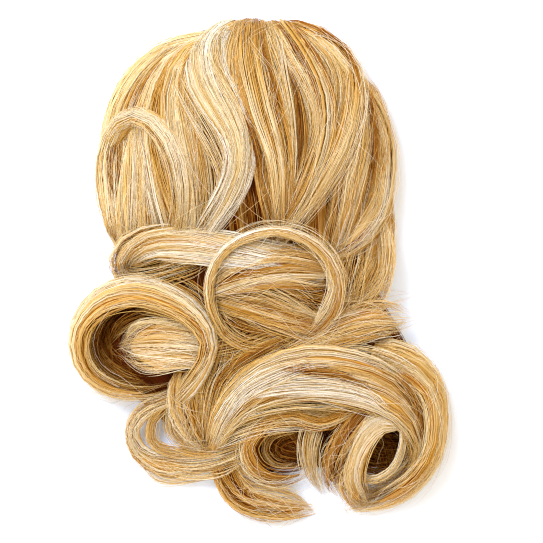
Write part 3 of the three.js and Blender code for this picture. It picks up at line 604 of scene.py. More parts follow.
def smooth_rows(rows, places):
    """Smooth curve through a table's rows, read at row numbers with fractions."""
    rows = np.asarray(rows, float)
    last = len(rows) - 1
    start = np.clip(np.floor(places).astype(int), 0, last - 1)
    t = (places - start)[:, None]
    before = rows[np.maximum(start - 1, 0)]
    first = rows[start]
    second = rows[start + 1]
    after = rows[np.minimum(start + 2, last)]
    slope_a = (second - before) / 2
    slope_b = (after - first) / 2
    bend_2 = -3 * first + 3 * second - 2 * slope_a - slope_b
    bend_3 = 2 * first - 2 * second + slope_a + slope_b
    return first + slope_a * t + bend_2 * t ** 2 + bend_3 * t ** 3


def fine_table(rows):
    return smooth_rows(rows, np.linspace(0, len(rows) - 1, SPINE_SAMPLES))


def spaced_evenly(place, columns):
    """Columns read at even steps along a path, with the path's length and its turn in degrees."""
    along = np.concatenate([[0.0], np.cumsum(steps_of(place))])
    even = np.linspace(0, along[-1], SPINE_SAMPLES)
    spaced = np.column_stack([np.interp(even, along, column) for column in columns.T])
    travel = unit(np.diff(place, axis=0))
    cosines = np.clip(dot(travel[1:], travel[:-1]), -1, 1)
    return spaced, along[-1], np.degrees(np.sum(np.arccos(cosines)))


def read_columns(columns, along):
    """Columns at shares of a lock's length, for an array of shares of any shape."""
    position = along * (len(columns) - 1)
    low = np.clip(position.astype(int), 0, len(columns) - 2)
    part = (position - low)[..., None]
    return columns[low] * (1 - part) + columns[low + 1] * part


def end_taper(along, start_size, end_size):
    """Share of a lock's full size: smaller at its root and towards its tip."""
    opening = start_size + (1 - start_size) * np.clip(along / OPENING, 0, 1)
    closing = end_size + (1 - end_size) * np.sqrt(np.clip((1 - along) / CLOSING, 0, 1))
    return opening * closing


# Arches: the dome under the crown and the low mound under the curls

class Arch:
    """Surface over an arch table, read by an angle over the arch and by Y."""

    def __init__(self, table):
        self.table = fine_table(table)[::-1]
        self.low = table[-1][0]
        self.high = table[0][0]
        y, left, right, top = self.table.T
        self.length = np.sum(steps_of(np.stack([0 * y, y, top], axis=-1)))
        self.round = math.pi * float(np.mean((right - left) / 2 + top)) / 2
        self.turn = ARCH_TURN
        self.degrees = CROWN_DEGREES

    def section(self, y):
        y = np.clip(y, self.low, self.high)
        rows = self.table[:, 0]
        left, right, top = (np.interp(y, rows, column) for column in self.table.T[1:])
        return (left + right) / 2, (right - left) / 2, top

    def at(self, angle, y):
        middle, half, top = self.section(y)
        return np.stack([middle + half * np.cos(angle), y, top * np.sin(angle)], axis=-1)

    def normal(self, angle, y):
        half, top = self.section(y)[1:]
        flat = unit(np.stack([np.cos(angle) * top, 0 * y, np.sin(angle) * half], axis=-1))
        slope = (self.at(angle, y + SLOPE_STEP) - self.at(angle, y - SLOPE_STEP)) / (2 * SLOPE_STEP)
        flat[..., 1] = -(slope[..., 0] * flat[..., 0] + slope[..., 2] * flat[..., 2])
        return unit(flat)

    def y_of(self, along):
        return np.interp(along, np.linspace(0, 1, SPINE_SAMPLES), self.table[::-1, 0])

    def speed(self, angle, along):
        return ellipse_speed(angle, *self.section(self.y_of(along))[1:])

    def surface(self, angle, along, height):
        y = self.y_of(along)
        normal = self.normal(angle, y)
        return self.at(angle, y) + height[..., None] * normal, normal


# Locks: each gives places on its surface from an angle round it and a share along it

class CurlLock:
    """A lock along a free path, with a lens section that leans as its table says."""

    def __init__(self, rows, size=1.0):
        rows = [(*row, *ROW_ENDS[len(row) - 4:]) for row in rows]
        x, y, z, wide, thick, lean = fine_table(rows).T
        wide = wide * size
        thick = thick * size
        place = np.stack([x, y, z], axis=-1)
        travel = unit(np.gradient(place, axis=0))
        right = unit(np.cross(travel, UP))
        top = np.cross(right, travel)
        lean = np.radians(lean)[:, None]
        face = top * np.cos(lean) + right * np.sin(lean)
        side = np.cross(face, travel)
        columns = np.column_stack([place, side, face, wide / 2, thick / 2])
        self.columns, self.length, self.turn = spaced_evenly(place, columns)
        self.round = math.pi * float(np.mean(wide + thick)) / 2
        self.degrees = CURL_DEGREES

    def sizes(self, along):
        columns = read_columns(self.columns, along)
        taper = end_taper(along, *CURL_ENDS)
        return columns, columns[..., 9] * taper, columns[..., 10] * taper

    def speed(self, angle, along):
        return ellipse_speed(angle, *self.sizes(along)[1:])

    def surface(self, angle, along, height, size=1.0):
        columns, half_wide, half_thick = self.sizes(along)
        half_wide = half_wide * size
        half_thick = half_thick * size
        out = unit(np.stack([np.cos(angle) * half_thick, np.sin(angle) * half_wide], axis=-1))
        across = half_wide * np.cos(angle) + height * out[..., 0]
        proud = half_thick * np.sin(angle) + height * out[..., 1]
        side = columns[..., 3:6]
        face = columns[..., 6:9]
        points = columns[..., 0:3] + across[..., None] * side + proud[..., None] * face
        return points, out[..., :1] * side + out[..., 1:] * face


class CrownLock:
    """A lock that hugs the dome: its edges run out into the hair beside it."""

    def __init__(self, rows, dome):
        self.dome = dome
        x, y, lift, wide, thick = fine_table(rows).T
        middle, half, top = dome.section(y)
        angle = np.arccos(np.clip((x - middle) / half, -FOOT_LIMIT, FOOT_LIMIT))
        place = dome.at(angle, y)
        normal = dome.normal(angle, y)
        travel = unit(np.gradient(place, axis=0))
        side = unit(np.cross(normal, travel))
        arch = np.stack([-half * np.sin(angle), 0 * y, top * np.cos(angle)], axis=-1)
        turn_rate = dot(side, unit(arch))[:, 0] / np.linalg.norm(arch, axis=1)
        columns = np.column_stack([angle, y, turn_rate, side[:, 1], wide / 2, lift + thick / 2])
        self.columns, self.length, self.turn = spaced_evenly(place, columns)
        self.round = math.pi * float(np.mean(wide))
        self.degrees = CROWN_DEGREES

    def sizes(self, along):
        columns = read_columns(self.columns, along)
        taper = end_taper(along, *CROWN_ENDS)
        return columns, CROWN_SPREAD * columns[..., 4] * taper, columns[..., 5] * taper

    def speed(self, angle, along):
        return self.sizes(along)[1] * np.maximum(np.abs(np.sin(angle)), EDGE_SPEED)

    def surface(self, angle, along, height, size=1.0):
        columns, half_wide, high = self.sizes(along)
        across = half_wide * size * np.cos(angle)
        rise = np.sin(angle)
        above = high * size * np.abs(rise) ** CROWN_ROUNDING
        proud = np.where(rise > 0, above, CROWN_UNDERSIDE * np.abs(rise)) + height
        arch_angle = np.clip(columns[..., 0] + across * columns[..., 2], 0.0, math.pi)
        y = columns[..., 1] + across * columns[..., 3]
        normal = self.dome.normal(arch_angle, y)
        return self.dome.at(arch_angle, y) + proud[..., None] * normal, normal


# Relief and smaller locks

class Draws:
    """Random numbers in a column, with a row for each strand or smaller lock."""

    def __init__(self, random, count):
        self.random = random
        self.shape = (count, 1)

    def even(self, low=0, high=1):
        return self.random.uniform(low, high, self.shape)

    def normal(self, spread):
        return self.random.normal(0, spread, self.shape)

    def phases(self, count):
        return self.random.uniform(0, TURN, (count, *self.shape))


class Grooves:
    """Two sets of grooves that run along a core."""

    def __init__(self, random, around):
        count = max(GROOVES_LEAST[0], int(around / GROOVE_WIDTH))
        self.counts = (count, max(GROOVES_LEAST[1], int(count * WIDE_GROOVES)))
        self.phases = random.uniform(0, TURN, (2, 3))
        self.drifts = random.uniform(-GROOVE_DRIFT, GROOVE_DRIFT, 2)

    def height(self, angle, along):
        """Height of a core's surface off its lock's, lower in the grooves."""
        total = 0
        for count, phases, drift in zip(self.counts, self.phases, self.drifts):
            bend = drift * np.sin(math.pi * along + phases[1])
            bend = bend + GROOVE_BEND * np.sin(GROOVE_BEAT * along + phases[2])
            total = total + np.abs(np.sin(count * angle / 2 + phases[0] + bend)) ** GROOVE_ROUNDING
        return GROOVE_DEPTH * (total / len(self.counts) - 1) - CORE_INSET


def angles_at(lock, arc, shares):
    """Angles at shares of the way round a lock, measured over its section."""
    angles = np.linspace(*arc, SPINE_SAMPLES)
    travelled = np.cumsum(lock.speed(angles, np.full(SPINE_SAMPLES, 0.5)))
    return np.interp(shares, travelled / travelled[-1], angles)


class Clumps:
    """The smaller locks of a lock: a row for each of the strands that they hold."""

    def __init__(self, random, lock, arc, strands):
        covered = lock.round * (arc[1] - arc[0]) / TURN
        count = max(CLUMPS_LEAST, int(covered / CLUMP_WIDTH))
        which = random.integers(0, count, strands)
        draw = Draws(random, count)
        middle = angles_at(lock, arc, (np.arange(count)[:, None] + draw.even(*CLUMP_PLACES)) / count)
        pick = middle / TURN + draw.normal(CLUMP_TONE_REACH) / lock.round
        reach = min(1.0, lock.round / FULL_SWAY_ROUND)
        self.middle = middle[which]
        self.pick = pick[which]
        self.wide = CLUMP_WIDTH * draw.even(*CLUMP_SIZES)[which]
        self.high = reach * draw.even(*CLUMP_HEIGHT)[which]
        self.round = reach * CLUMP_ROUND
        self.end = 1 + OVERSHOOT - FRAY * draw.even()[which] ** FRAY_POWER
        self.offset = draw.even(0, CLUMP_OFFSET)[which]
        self.beat = TURN * lock.length / draw.even(*CLUMP_WAVE)[which]
        self.phase = draw.even(0, TURN)[which]
        self.swing = reach * draw.normal(CLUMP_SWAY)[which]
        self.drift = reach * draw.normal(CLUMP_DRIFT)[which]

    def sway(self, along):
        return self.swing * np.sin(self.beat * along + self.phase) + self.drift * (along - 0.5)


# Strands

def segments_of(lock):
    return int(np.clip(lock.turn / lock.degrees, *SEGMENT_RANGE))


def shared_places(draw, segments, offset, end):
    """Shares along a lock for its strands' vertices, in common within a smaller lock but at the ends."""
    last = np.floor(end * segments + offset + (1 - LEAST_SEGMENT)).astype(int)
    along = (np.arange(last.max() + 1)[None, :] - offset) / segments
    along[:, :1] = draw.even(0, START_SHIFT) * along[:, 1:2]
    np.put_along_axis(along, last, end, axis=1)
    return np.minimum(along, end), last[:, 0]


def thin_ends(draw, radius, share, taper):
    """Radii along strands that thin towards both ends."""
    start, start_size, tip, tip_size = taper
    size = np.minimum(1, np.minimum(share / start + start_size, (1 - share) / tip + tip_size))
    return np.maximum(draw.even(*radius) * size, TIP_RADIUS)


class Strands:
    """All of a lock's strands, gathered into smaller locks on its surface."""

    def __init__(self, random, lock, count, arc):
        self.lock = lock
        self.clumps = Clumps(random, lock, arc, count)
        draw = Draws(random, count)
        end = self.clumps.end - draw.even(0, STRAND_ENDS)
        self.along, self.last = shared_places(draw, segments_of(lock), self.clumps.offset, end)
        start = self.along[:, :1]
        self.share = (self.along - start) / (end - start)
        self.low = draw.even() < LOW_SHARE
        low_place = angles_at(lock, arc, draw.even())
        self.middle = np.where(self.low, low_place, self.clumps.middle)
        self.loose = (draw.even() < LOOSE_SHARE) & ~self.low
        self.place = draw.normal(STRAND_SPREAD) * np.where(self.loose, LOOSE_SPREAD, 1.0)
        self.phases = draw.phases(3)
        self.beat = TURN * self.along * lock.length / draw.even(*WAVE_LENGTH)
        self.wave = draw.even(*WAVE_HEIGHT) * np.where(self.loose, LOOSE_WAVE, 1.0)
        self.draw = draw

    def angles(self):
        drift = np.where(self.loose, self.draw.normal(LOOSE_DRIFT), 0.0) * (self.along - 0.5)
        gathered = np.clip((self.along - GATHER_START) / (1 - GATHER_START), 0, 1) ** GATHER_POWER
        slide = self.clumps.sway(self.along) + self.place * self.clumps.wide * (1 - CLUMP_GATHER * gathered)
        slide = slide + SIDE_WAVE * self.wave * np.sin(self.beat + self.phases[0]) + drift
        speed = self.lock.speed(self.middle + 0 * self.along, self.along)
        return self.middle + slide / np.maximum(speed, LEAST_SPEED)

    def heights(self):
        lift = self.loose * LOOSE_HEIGHT * self.draw.even(*LIFT_SHARE) ** 2
        lift = lift * (0.5 + 0.5 * np.sin(LIFT_BEAT * self.beat + self.phases[1]))
        lift = lift * np.clip(LIFT_OPENING * self.along, 0, 1)
        round_top = self.clumps.round * np.clip(1 - self.place ** 2, -1, 1)
        proud = np.where(self.low, LOW_HEIGHT, self.clumps.high + round_top)
        height = proud + self.draw.even(*STRAND_HEIGHT) + lift
        return height + HIGH_WAVE * self.wave * np.sin(self.beat + self.phases[2])

    def picks(self):
        """Places across the UV square, which set the strands' tones."""
        pick = np.where(self.low, self.middle / TURN, self.clumps.pick)
        pick = pick + TONE_SHARE * (self.place * self.clumps.wide) / self.lock.round
        return ((pick + self.draw.normal(TONE_SPREAD) / self.lock.round) % 1.0)[:, 0]

    def parts(self):
        """Closed tubes, in a part for each number of segments."""
        angles = self.angles()
        points, face = self.lock.surface(angles, self.along, self.heights())
        radii = thin_ends(self.draw, STRAND_RADIUS, self.share, STRAND_TAPER)
        picks = self.picks()
        # Low strands take the upper half of the UV square, which is painted darker as shade in the gaps
        lengthwise = LENGTH_IN_UV * self.along + np.where(self.low, CORE_IN_UV, 0)
        width = STRAND_IN_UV / self.lock.round
        parts = []
        for stop in np.unique(self.last):
            some = self.last == stop
            cut = (some, slice(0, stop + 1))
            parts.append(tube_mesh(points[cut], face[cut], radii[cut], picks[some], lengthwise[cut], width))
        return parts


def tube_mesh(points, face, radii, picks, lengthwise, pick_width):
    """Closed three-sided tubes along many paths: vertices, faces and UV values for their corners."""
    count, rows = points.shape[:2]
    travel = unit(np.gradient(points, axis=1))
    normal = unit(face - travel * dot(face, travel))
    side = np.cross(travel, normal)
    rings = []
    for corner in range(STRAND_SIDES):
        angle = TURN * corner / STRAND_SIDES + math.pi / 2
        out = math.cos(angle) * side + math.sin(angle) * normal
        rings.append(points + radii[..., None] * out)
    vertices = np.stack(rings, axis=2).reshape(-1, 3)
    index = np.arange(count * rows * STRAND_SIDES).reshape(count, rows, STRAND_SIDES)
    after = np.roll(index, -1, axis=2)
    quads = np.stack([index[:, :-1], after[:, :-1], after[:, 1:], index[:, 1:]], axis=-1).reshape(-1, 4)
    caps = np.concatenate([index[:, 0, ::-1], index[:, -1]])
    spread = np.linspace(-pick_width, pick_width, STRAND_SIDES)
    across = picks[:, None, None] + spread + np.zeros((count, rows, STRAND_SIDES))
    uv = np.stack([across, lengthwise[..., None] + 0 * across], axis=-1).reshape(-1, 2)
    uv = np.clip(uv, 0, 1 - CAP_IN_UV)
    cap_uv = uv[caps] + np.array([(0.0, 0.0), (0.0, CAP_IN_UV), (0.0, 0.0)])
    return vertices, [quads, caps], [uv[quads], cap_uv]


# Cores

def grid_faces(rows, columns, closed):
    """Quads of a grid of vertices and their UV values, with columns closed into rings if asked."""
    index = np.arange(rows * columns).reshape(rows, columns)
    after = np.roll(index, -1, axis=1)
    last = columns if closed else columns - 1
    place = np.arange(columns) / last
    corners = [index[:-1, :last], after[:-1, :last], after[1:, :last], index[1:, :last]]
    u = [place[:last], place[:last] + 1 / last, place[:last] + 1 / last, place[:last]]
    share = CORE_IN_UV + LENGTH_IN_UV * np.linspace(0, 1, rows)[:, None]
    v = [share[:-1], share[:-1], share[1:], share[1:]]
    uv = [np.stack(np.broadcast_arrays(a, b), axis=-1) for a, b in zip(u, v)]
    quads = np.stack(corners, axis=-1).reshape(-1, 4)
    return index, quads, np.stack(uv, axis=2).reshape(-1, 4, 2)


def core_part(lock, grooves):
    """Closed grooved body inside a lock, so that nothing shows through its strands."""
    rows = 2 * segments_of(lock) + 1
    sides = int(lock.round / CORE_SIDE_WIDTH)
    angle = (TURN * np.arange(sides) / sides)[None, :] + np.zeros((rows, 1))
    along = np.linspace(0.0, CORE_END, rows)[:, None] + 0 * angle
    point = np.sqrt(np.clip((CORE_END - along) / CORE_CLOSING, CORE_LEAST, 1))
    points = lock.surface(angle, along, grooves.height(angle, along) * point, point)[0]
    index, quads, uv = grid_faces(rows, sides, True)
    circle = CAP_IN_UV * np.stack([np.cos(angle[0]), np.sin(angle[0])], axis=-1)
    circle = np.array([0.5, CORE_IN_UV]) + circle
    faces = [quads, index[:1, ::-1], index[-1:]]
    return points.reshape(-1, 3), faces, [uv, circle[None, ::-1], circle[None]]


def arch_core(arch, grooves, thickness):
    """Closed shell under an arch, grooved above, hollow below and open at its lower end."""
    angle = np.linspace(0, math.pi, ARCH_SIDES)[None, :] + np.zeros((ARCH_ROWS, 1))
    along = np.linspace(0, 1, ARCH_ROWS)[:, None] + 0 * angle
    upper = arch.surface(angle, along, grooves.height(angle, along))[0]
    lower = arch.surface(angle, along, 0 * angle - thickness)[0]
    lower[..., 2] = np.maximum(lower[..., 2], 0)
    index, quads, uv = grid_faces(ARCH_ROWS, ARCH_SIDES, False)
    under = index + index.size
    rims = [
        (under[:-1, 0], index[:-1, 0], index[1:, 0], under[1:, 0]),
        (index[:-1, -1], under[:-1, -1], under[1:, -1], index[1:, -1]),
        (index[0, 1:], index[0, :-1], under[0, :-1], under[0, 1:]),
        (index[-1, :-1], index[-1, 1:], under[-1, 1:], under[-1, :-1]),
    ]
    rim_quads = np.concatenate([np.stack(rim, axis=-1) for rim in rims])
    square = CAP_IN_UV * np.array([(0.0, 0.0), (1.0, 0.0), (1.0, 1.0), (0.0, 1.0)])
    rim_uv = np.tile(np.array([0.5, CORE_IN_UV]) + square, (len(rim_quads), 1, 1))
    vertices = np.concatenate([upper.reshape(-1, 3), lower.reshape(-1, 3)])
    return vertices, [quads, quads[:, ::-1] + index.size, rim_quads], [uv, uv[:, ::-1], rim_uv]


# Loose hair between and around the locks

def shares_of(segments):
    return np.linspace(0, 1, segments + 1)[None, :]


def wisp_part(random, tone, copper, lock, arc, count):
    """Strands that fill a thin wisp from its middle to its edge."""
    draw = Draws(random, count)
    share = shares_of(max(WISP_SEGMENTS, int(lock.turn / CROWN_DEGREES)))
    start = WISP_START * draw.even() ** 2
    end = WISP_END - WISP_FRAY * draw.even() ** WISP_FRAY_POWER
    along = start + (end - start) * share
    phases = draw.phases(2)
    beat = TURN * along * lock.length / draw.even(*WAVE_LENGTH)
    wave = draw.even(*WISP_WAVE)
    angle = draw.even(*arc) + draw.normal(WISP_TWIST) * along
    size = np.sqrt(draw.even(*WISP_FILL)) + 0 * along
    points, face = lock.surface(angle, along, wave * np.sin(beat + phases[0]), size)
    points = points + face * (wave * np.sin(WISP_BEAT * beat + phases[1]))[..., None]
    radii = thin_ends(draw, STRAND_RADIUS, share, WISP_TAPER)
    picks = np.clip(tone + draw.normal(WISP_TONES)[:, 0], *TONE_LIMITS)
    copper_shares = np.clip(copper + draw.normal(WISP_COPPER), *COPPER_LIMITS)
    return tube_mesh(points, face, radii, picks, copper_shares + 0 * along, CAP_IN_UV)


def stray_tubes(draw, points, face, share):
    """Tubes for single hairs, pale and thin."""
    radii = thin_ends(draw, STRAY_RADIUS, share, STRAY_TAPER)
    picks = np.clip(STRAY_TONE + draw.normal(STRAY_TONES)[:, 0], *STRAY_TONE_LIMITS)
    return tube_mesh(points, face, radii, picks, draw.even(*STRAY_COPPER) + 0 * share, CAP_IN_UV)


def stray_part(random, lock, count):
    """Thin hairs that lift off a lock in long bends."""
    draw = Draws(random, count)
    share = shares_of(STRAY_SEGMENTS)
    start = draw.even(*STRAY_START)
    end = np.minimum(start + draw.even(*STRAY_LENGTH), STRAY_END)
    along = start + (end - start) * share
    middle = draw.even(0, math.pi)
    phases = draw.phases(2)
    beat = draw.even(*STRAY_BEAT) * share
    slide = draw.even(*STRAY_SLIDE) * np.sin(beat + phases[0]) * np.clip(STRAY_OPENING * share, 0, 1)
    angle = middle + slide / np.maximum(lock.speed(middle + 0 * along, along), STRAY_LEAST_SPEED)
    rise = STRAY_HEIGHT * draw.even(*LIFT_SHARE) ** 2
    bump = np.sin(math.pi * np.minimum(share * draw.even(*STRAY_PEAK), 1)) ** STRAY_ROUNDING
    points, face = lock.surface(angle, along, STRAY_BASE + rise * bump)
    return stray_tubes(draw, points, face, share)


def crossing_part(random, lock, count, heights, turn):
    """Thin hairs that cross a lock or the crown aslant."""
    draw = Draws(random, count)
    share = shares_of(STRAY_SEGMENTS)
    start = draw.even(*CROSSING_START)
    along = start + draw.even(*CROSSING_LENGTH) * share
    phases = draw.phases(2)
    middle = draw.even(*CROSSING_MIDDLE)
    bend = sum(size * np.sin(beat * share + phase) for (size, beat), phase in zip(CROSSING_BENDS, phases))
    angle = middle + draw.normal(turn) * share + bend
    swell = 1 + CROSSING_SWELL * np.sin(CROSSING_SWELL_BEAT * share + phases[1])
    points, face = lock.surface(np.clip(angle, *CROSSING_LIMITS), along, draw.even(*heights) * swell)
    return stray_tubes(draw, points, face, share)


# Mesh objects

def joined(parts):
    """Vertices of all the parts in metres, their faces' corners and sizes, and the corners' UV values."""
    loops = []
    sizes = []
    uvs = []
    offset = 0
    for vertices, faces, uv in parts:
        for group, group_uv in zip(faces, uv):
            loops.append((group + offset).reshape(-1))
            sizes.append(np.full(len(group), group.shape[1]))
            uvs.append(group_uv.reshape(-1, 2))
        offset += len(vertices)
    vertices = np.concatenate([part[0] for part in parts]) * MM
    vertices[:, 2] = np.maximum(vertices[:, 2], FLOOR_CLEARANCE * MM)
    return vertices, np.concatenate(loops), np.concatenate(sizes), np.concatenate(uvs)


def make_object(name, parts, material):
    """One mesh object from parts, each with vertices, groups of faces and groups of UV values."""
    vertices, loops, sizes, uvs = joined(parts)
    mesh = bpy.data.meshes.new(name)
    mesh.vertices.add(len(vertices))
    mesh.vertices.foreach_set("co", vertices.astype(np.float32).reshape(-1))
    mesh.loops.add(len(loops))
    mesh.loops.foreach_set("vertex_index", loops.astype(np.int32))
    mesh.polygons.add(len(sizes))
    starts = np.concatenate([[0], np.cumsum(sizes)[:-1]])
    mesh.polygons.foreach_set("loop_start", starts.astype(np.int32))
    mesh.update(calc_edges=True)
    mesh.polygons.foreach_set("use_smooth", np.ones(len(sizes), bool))
    layer = mesh.uv_layers.new(name="OFBake")
    layer.data.foreach_set("uv", uvs.astype(np.float32).reshape(-1))
    mesh.materials.append(material)
    piece = bpy.data.objects.new(name, mesh)
    scene.collection.objects.link(piece)
    return piece


def hair_piece(node, parts, lock, seed):
    piece = make_object(node + "_hair", parts, hair_material(node, lock, seed))
    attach(piece, "root")
    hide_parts(node)


def loose_piece(name, parts, material):
    piece = make_object(name, parts, material)
    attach(piece, "root")


def lock_piece(node, lock, arc, density, seed):
    random = np.random.default_rng(seed)
    grooves = Grooves(random, lock.round)
    count = int(density * lock.round * (arc[1] - arc[0]) / TURN)
    parts = Strands(random, lock, count, arc).parts()
    hair_piece(node, [*parts, core_part(lock, grooves)], lock, seed)


def arch_piece(node, arch, thickness, density, seed):
    random = np.random.default_rng(seed)
    parts = [arch_core(arch, Grooves(random, 2 * arch.round), thickness)]
    parts.extend(Strands(random, arch, int(density * arch.round), ARCH_ARC).parts())
    for arc in FOOT_ARCS:
        count = int(FOOT_DENSITY * arch.round * (arc[1] - arc[0]) / math.pi)
        parts.extend(Strands(random, arch, count, arc).parts())
    hair_piece(node, parts, arch, seed)


# Materials

class Graph:
    """A new material and its nodes."""

    def __init__(self, name):
        self.material = bpy.data.materials.new(name)
        self.material.use_nodes = True
        self.tree = self.material.node_tree
        self.shader = self.tree.nodes["Principled BSDF"]

    def set(self, node, inputs):
        """Give a node's inputs plain values, or join them to other nodes' outputs."""
        for name, value in inputs.items():
            if isinstance(value, bpy.types.NodeSocket):
                self.tree.links.new(value, node.inputs[name])
            else:
                node.inputs[name].default_value = value

    def add(self, kind, inputs):
        node = self.tree.nodes.new("ShaderNode" + kind)
        self.set(node, inputs)
        return node

    def math(self, operation, *values):
        node = self.add("Math", {})
        node.operation = operation
        self.set(node, dict(enumerate(values)))
        return node.outputs[0]


def linear(screen):
    """Screen colour from 0 to 255 as linear light."""
    values = np.asarray(screen, float) / 255
    return np.where(values <= 0.04045, values / 12.92, ((values + 0.055) / 1.055) ** 2.4)


def uv_values(graph):
    coordinates = graph.add("UVMap", {})
    coordinates.uv_map = "OFBake"
    split = graph.add("SeparateXYZ", {0: coordinates.outputs["UV"]})
    return split.outputs["X"], split.outputs["Y"]


def color_ramp(graph, value, colors):
    """Linear colours at places from 0 to 1. Places come first, because elements sort by them."""
    ramp = graph.add("ValToRGB", {"Fac": value})
    elements = ramp.color_ramp.elements
    while len(elements) < len(colors):
        elements.new(0.5)
    for element, (place, color) in zip(elements, colors):
        element.position = place
    for element, (place, color) in zip(elements, colors):
        element.color = (*color, 1.0)
    return ramp.outputs["Color"]


def fibre_shader(graph, tone, copper):
    """Fibre shader with a colour between blonde and copper at a tone."""
    ramps = []
    for colors in (TONE_COLORS, COPPER_COLORS):
        ramps.append(color_ramp(graph, tone, [(place, linear(color)) for place, color in colors]))
    mix = graph.add("MixRGB", {"Fac": copper, "Color1": ramps[0], "Color2": ramps[1]})
    graph.set(graph.shader, {
        "Base Color": mix.outputs["Color"],
        "Roughness": FIBRE_ROUGHNESS,
        "Specular IOR Level": FIBRE_SPECULAR,
    })


def streak(graph, across, along, strength, seed):
    """Noise in streaks, centred on zero."""
    place = graph.add("CombineXYZ", {0: across, 1: along, 2: seed})
    noise = graph.add("TexNoise", {"Vector": place.outputs[0], "Scale": 1.0, "Detail": 0.0})
    return graph.math("MULTIPLY", graph.math("SUBTRACT", noise.outputs["Fac"], 0.5), strength)


def hair_material(node, lock, seed):
    """Streaky fibre: its tone varies round a lock in fine streaks that run along it. Its cores and low
    strands are painted darker as shade, and the inner side of curls darker, partly as less bleached hair
    and partly as painted shade.
    """
    tone, shift, copper_share = TONES[node]
    graph = Graph(node + "_fibre")
    across, lengthwise = uv_values(graph)
    doubled = graph.math("MULTIPLY", lengthwise, 2.0)
    core = graph.math("FLOOR", doubled)
    along = graph.math("DIVIDE", graph.math("SUBTRACT", doubled, core), 2 * LENGTH_IN_UV)
    total = graph.math("MULTIPLY_ADD", along, shift, tone - shift / 2)
    # Painted shade: cores and low strands are painted darker, as the shade in the gaps between the smaller
    # locks
    total = graph.math("MULTIPLY_ADD", core, -CORE_PAINTED_SHADE, total)
    # Inner side of curls darker: partly less bleached hair, partly painted shade in the hollows
    rise = graph.math("SINE", graph.math("MULTIPLY", across, TURN))
    total = graph.math("MULTIPLY_ADD", graph.math("MINIMUM", rise, 0.0), INNER_TONE_AND_SHADE, total)
    bands = []
    for number, (wide, long, strength) in enumerate((*STREAKS, COPPER_STREAK)):
        u = graph.math("MULTIPLY", across, lock.round / wide)
        v = graph.math("MULTIPLY", along, lock.length / long)
        bands.append(streak(graph, u, v, strength, LOCK_STEP * seed + STREAK_STEP * number))
    for band in bands[:-1]:
        total = graph.math("ADD", total, band)
    copper = graph.math("ADD", bands[-1], copper_share)
    copper.node.use_clamp = True
    fibre_shader(graph, total, copper)
    return graph.material


def loose_material():
    """Fibre whose tone and share of copper are each strand's UV values."""
    graph = Graph("loose_fibre")
    fibre_shader(graph, *uv_values(graph))
    return graph.material


def clip_material():
    graph = Graph("brown_plastic")
    noise = graph.add("TexNoise", {"Scale": CLIP_GRAIN})
    shades = [(place, shade * linear(CLIP_COLOR)) for place, shade in enumerate(CLIP_SHADES)]
    color = color_ramp(graph, noise.outputs["Fac"], shades)
    graph.set(graph.shader, {"Base Color": color, "Roughness": CLIP_ROUGHNESS})
    return graph.material


def floor_material():
    graph = Graph("white_surface")
    graph.set(graph.shader, {
        "Base Color": (*linear(FLOOR_COLOR), 1.0),
        "Roughness": FLOOR_ROUGHNESS,
        "Specular IOR Level": FLOOR_SPECULAR,
        "Emission Color": (1, 1, 1, 1),
        "Emission Strength": FLOOR_GLOW,
    })
    return graph.material


# Stage

def make_floor():
    bpy.ops.mesh.primitive_plane_add(size=FLOOR_SIZE)
    floor = bpy.context.object
    floor.name = "floor"
    floor.data.materials.append(floor_material())


def make_lights():
    data = bpy.data.lights.new("key", "AREA")
    data.shape = "DISK"
    data.size = KEY_SIZE
    data.energy = KEY_POWER
    data.color = KEY_COLOR
    key = bpy.data.objects.new("key", data)
    key.location = KEY_PLACE
    key.rotation_euler = (-Vector(KEY_PLACE)).to_track_quat("-Z", "Y").to_euler()
    scene.collection.objects.link(key)
    world = bpy.data.worlds.new("studio")
    world.use_nodes = True
    background = world.node_tree.nodes["Background"]
    background.inputs["Color"].default_value = (*WORLD_COLOR, 1.0)
    background.inputs["Strength"].default_value = WORLD_STRENGTH
    scene.world = world


def make_camera():
    data = bpy.data.cameras.new("camera")
    data.sensor_width = SENSOR
    data.lens = SENSOR * CAMERA_DISTANCE / PHOTO_WIDTH
    data.clip_end = CAMERA_REACH
    camera = bpy.data.objects.new("camera", data)
    camera.location = (*PHOTO_CENTER, FOCUS_HEIGHT + CAMERA_DISTANCE)
    scene.collection.objects.link(camera)
    scene.camera = camera


# Assembly

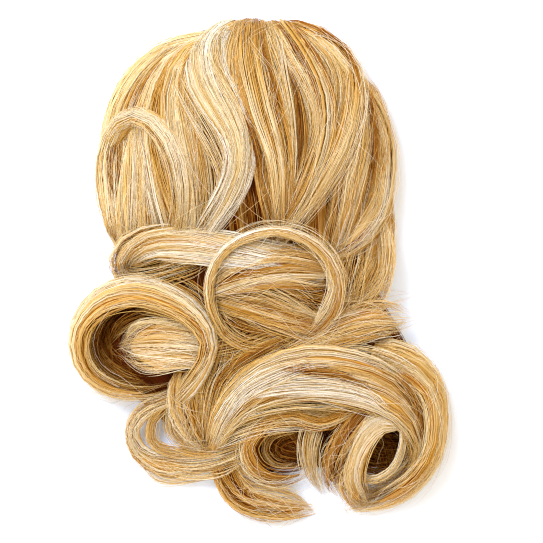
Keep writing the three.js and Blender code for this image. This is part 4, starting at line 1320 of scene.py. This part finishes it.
def make_locks(dome):
    """The replacing pieces of all the locks, and their shapes for the stray hairs."""
    locks = []
    for seed, (node, rows) in enumerate(CROWN_LOCKS.items(), start=CROWN_SEED):
        lock = CrownLock(rows, dome)
        lock_piece(node, lock, CROWN_ARC, CROWN_DENSITY, seed)
        locks.append(lock)
    for seed, (node, rows) in enumerate(CURLS.items(), start=CURL_SEED):
        lock = CurlLock(rows, SIZES.get(node, CURL_SIZE))
        arc = FLAT_ARC if node in FLAT_CURLS else FULL_ARC
        lock_piece(node, lock, arc, CURL_DENSITY, seed)
        locks.append(lock)
    return locks


def make_loose_hair(dome, locks):
    material = loose_material()
    random = np.random.default_rng(LOOSE_SEED)
    wisps = []
    for tone, copper, *rows in WISPS_AND_PAINTED_SHADE:
        wisps.append(wisp_part(random, tone, copper, CurlLock(rows), FULL_ARC, WISP_STRANDS))
    for tone, copper, *rows in CROWN_WISPS_AND_PAINTED_SHADE:
        lock = CrownLock(rows, dome)
        wisps.append(wisp_part(random, tone, copper, lock, CROWN_WISP_ARC, CROWN_WISP_STRANDS))
    for number in range(WISP_PIECES):
        loose_piece("wisps_%d" % (number + 1), wisps[number::WISP_PIECES], material)
    strays = [stray_part(random, lock, STRAY_COUNT // len(locks)) for lock in locks]
    strays.append(crossing_part(random, dome, *CROWN_CROSSINGS))
    for lock in locks[len(CROWN_LOCKS):]:
        strays.append(crossing_part(random, lock, *CURL_CROSSINGS))
    loose_piece("stray_hairs", strays, material)


make_floor()
make_lights()
make_camera()
scene.view_settings.view_transform = "Standard"
scene.cycles.use_denoising = True
scene.cycles.denoising_input_passes = "RGB_ALBEDO_NORMAL"
scene.cycles.denoising_prefilter = "NONE"
scene.cycles.filter_width = PIXEL_FILTER
clip_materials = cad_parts["claw_clip"].data.materials
clip_materials.clear()
clip_materials.append(clip_material())

crown_dome = Arch(DOME)
arch_piece("crown_shell", crown_dome, SHELL_THICKNESS, SHELL_DENSITY, SHELL_SEED)
arch_piece("under_hair", Arch(UNDER_HAIR), MOUND_THICKNESS, MOUND_DENSITY, MOUND_SEED)
make_loose_hair(crown_dome, make_locks(crown_dome))
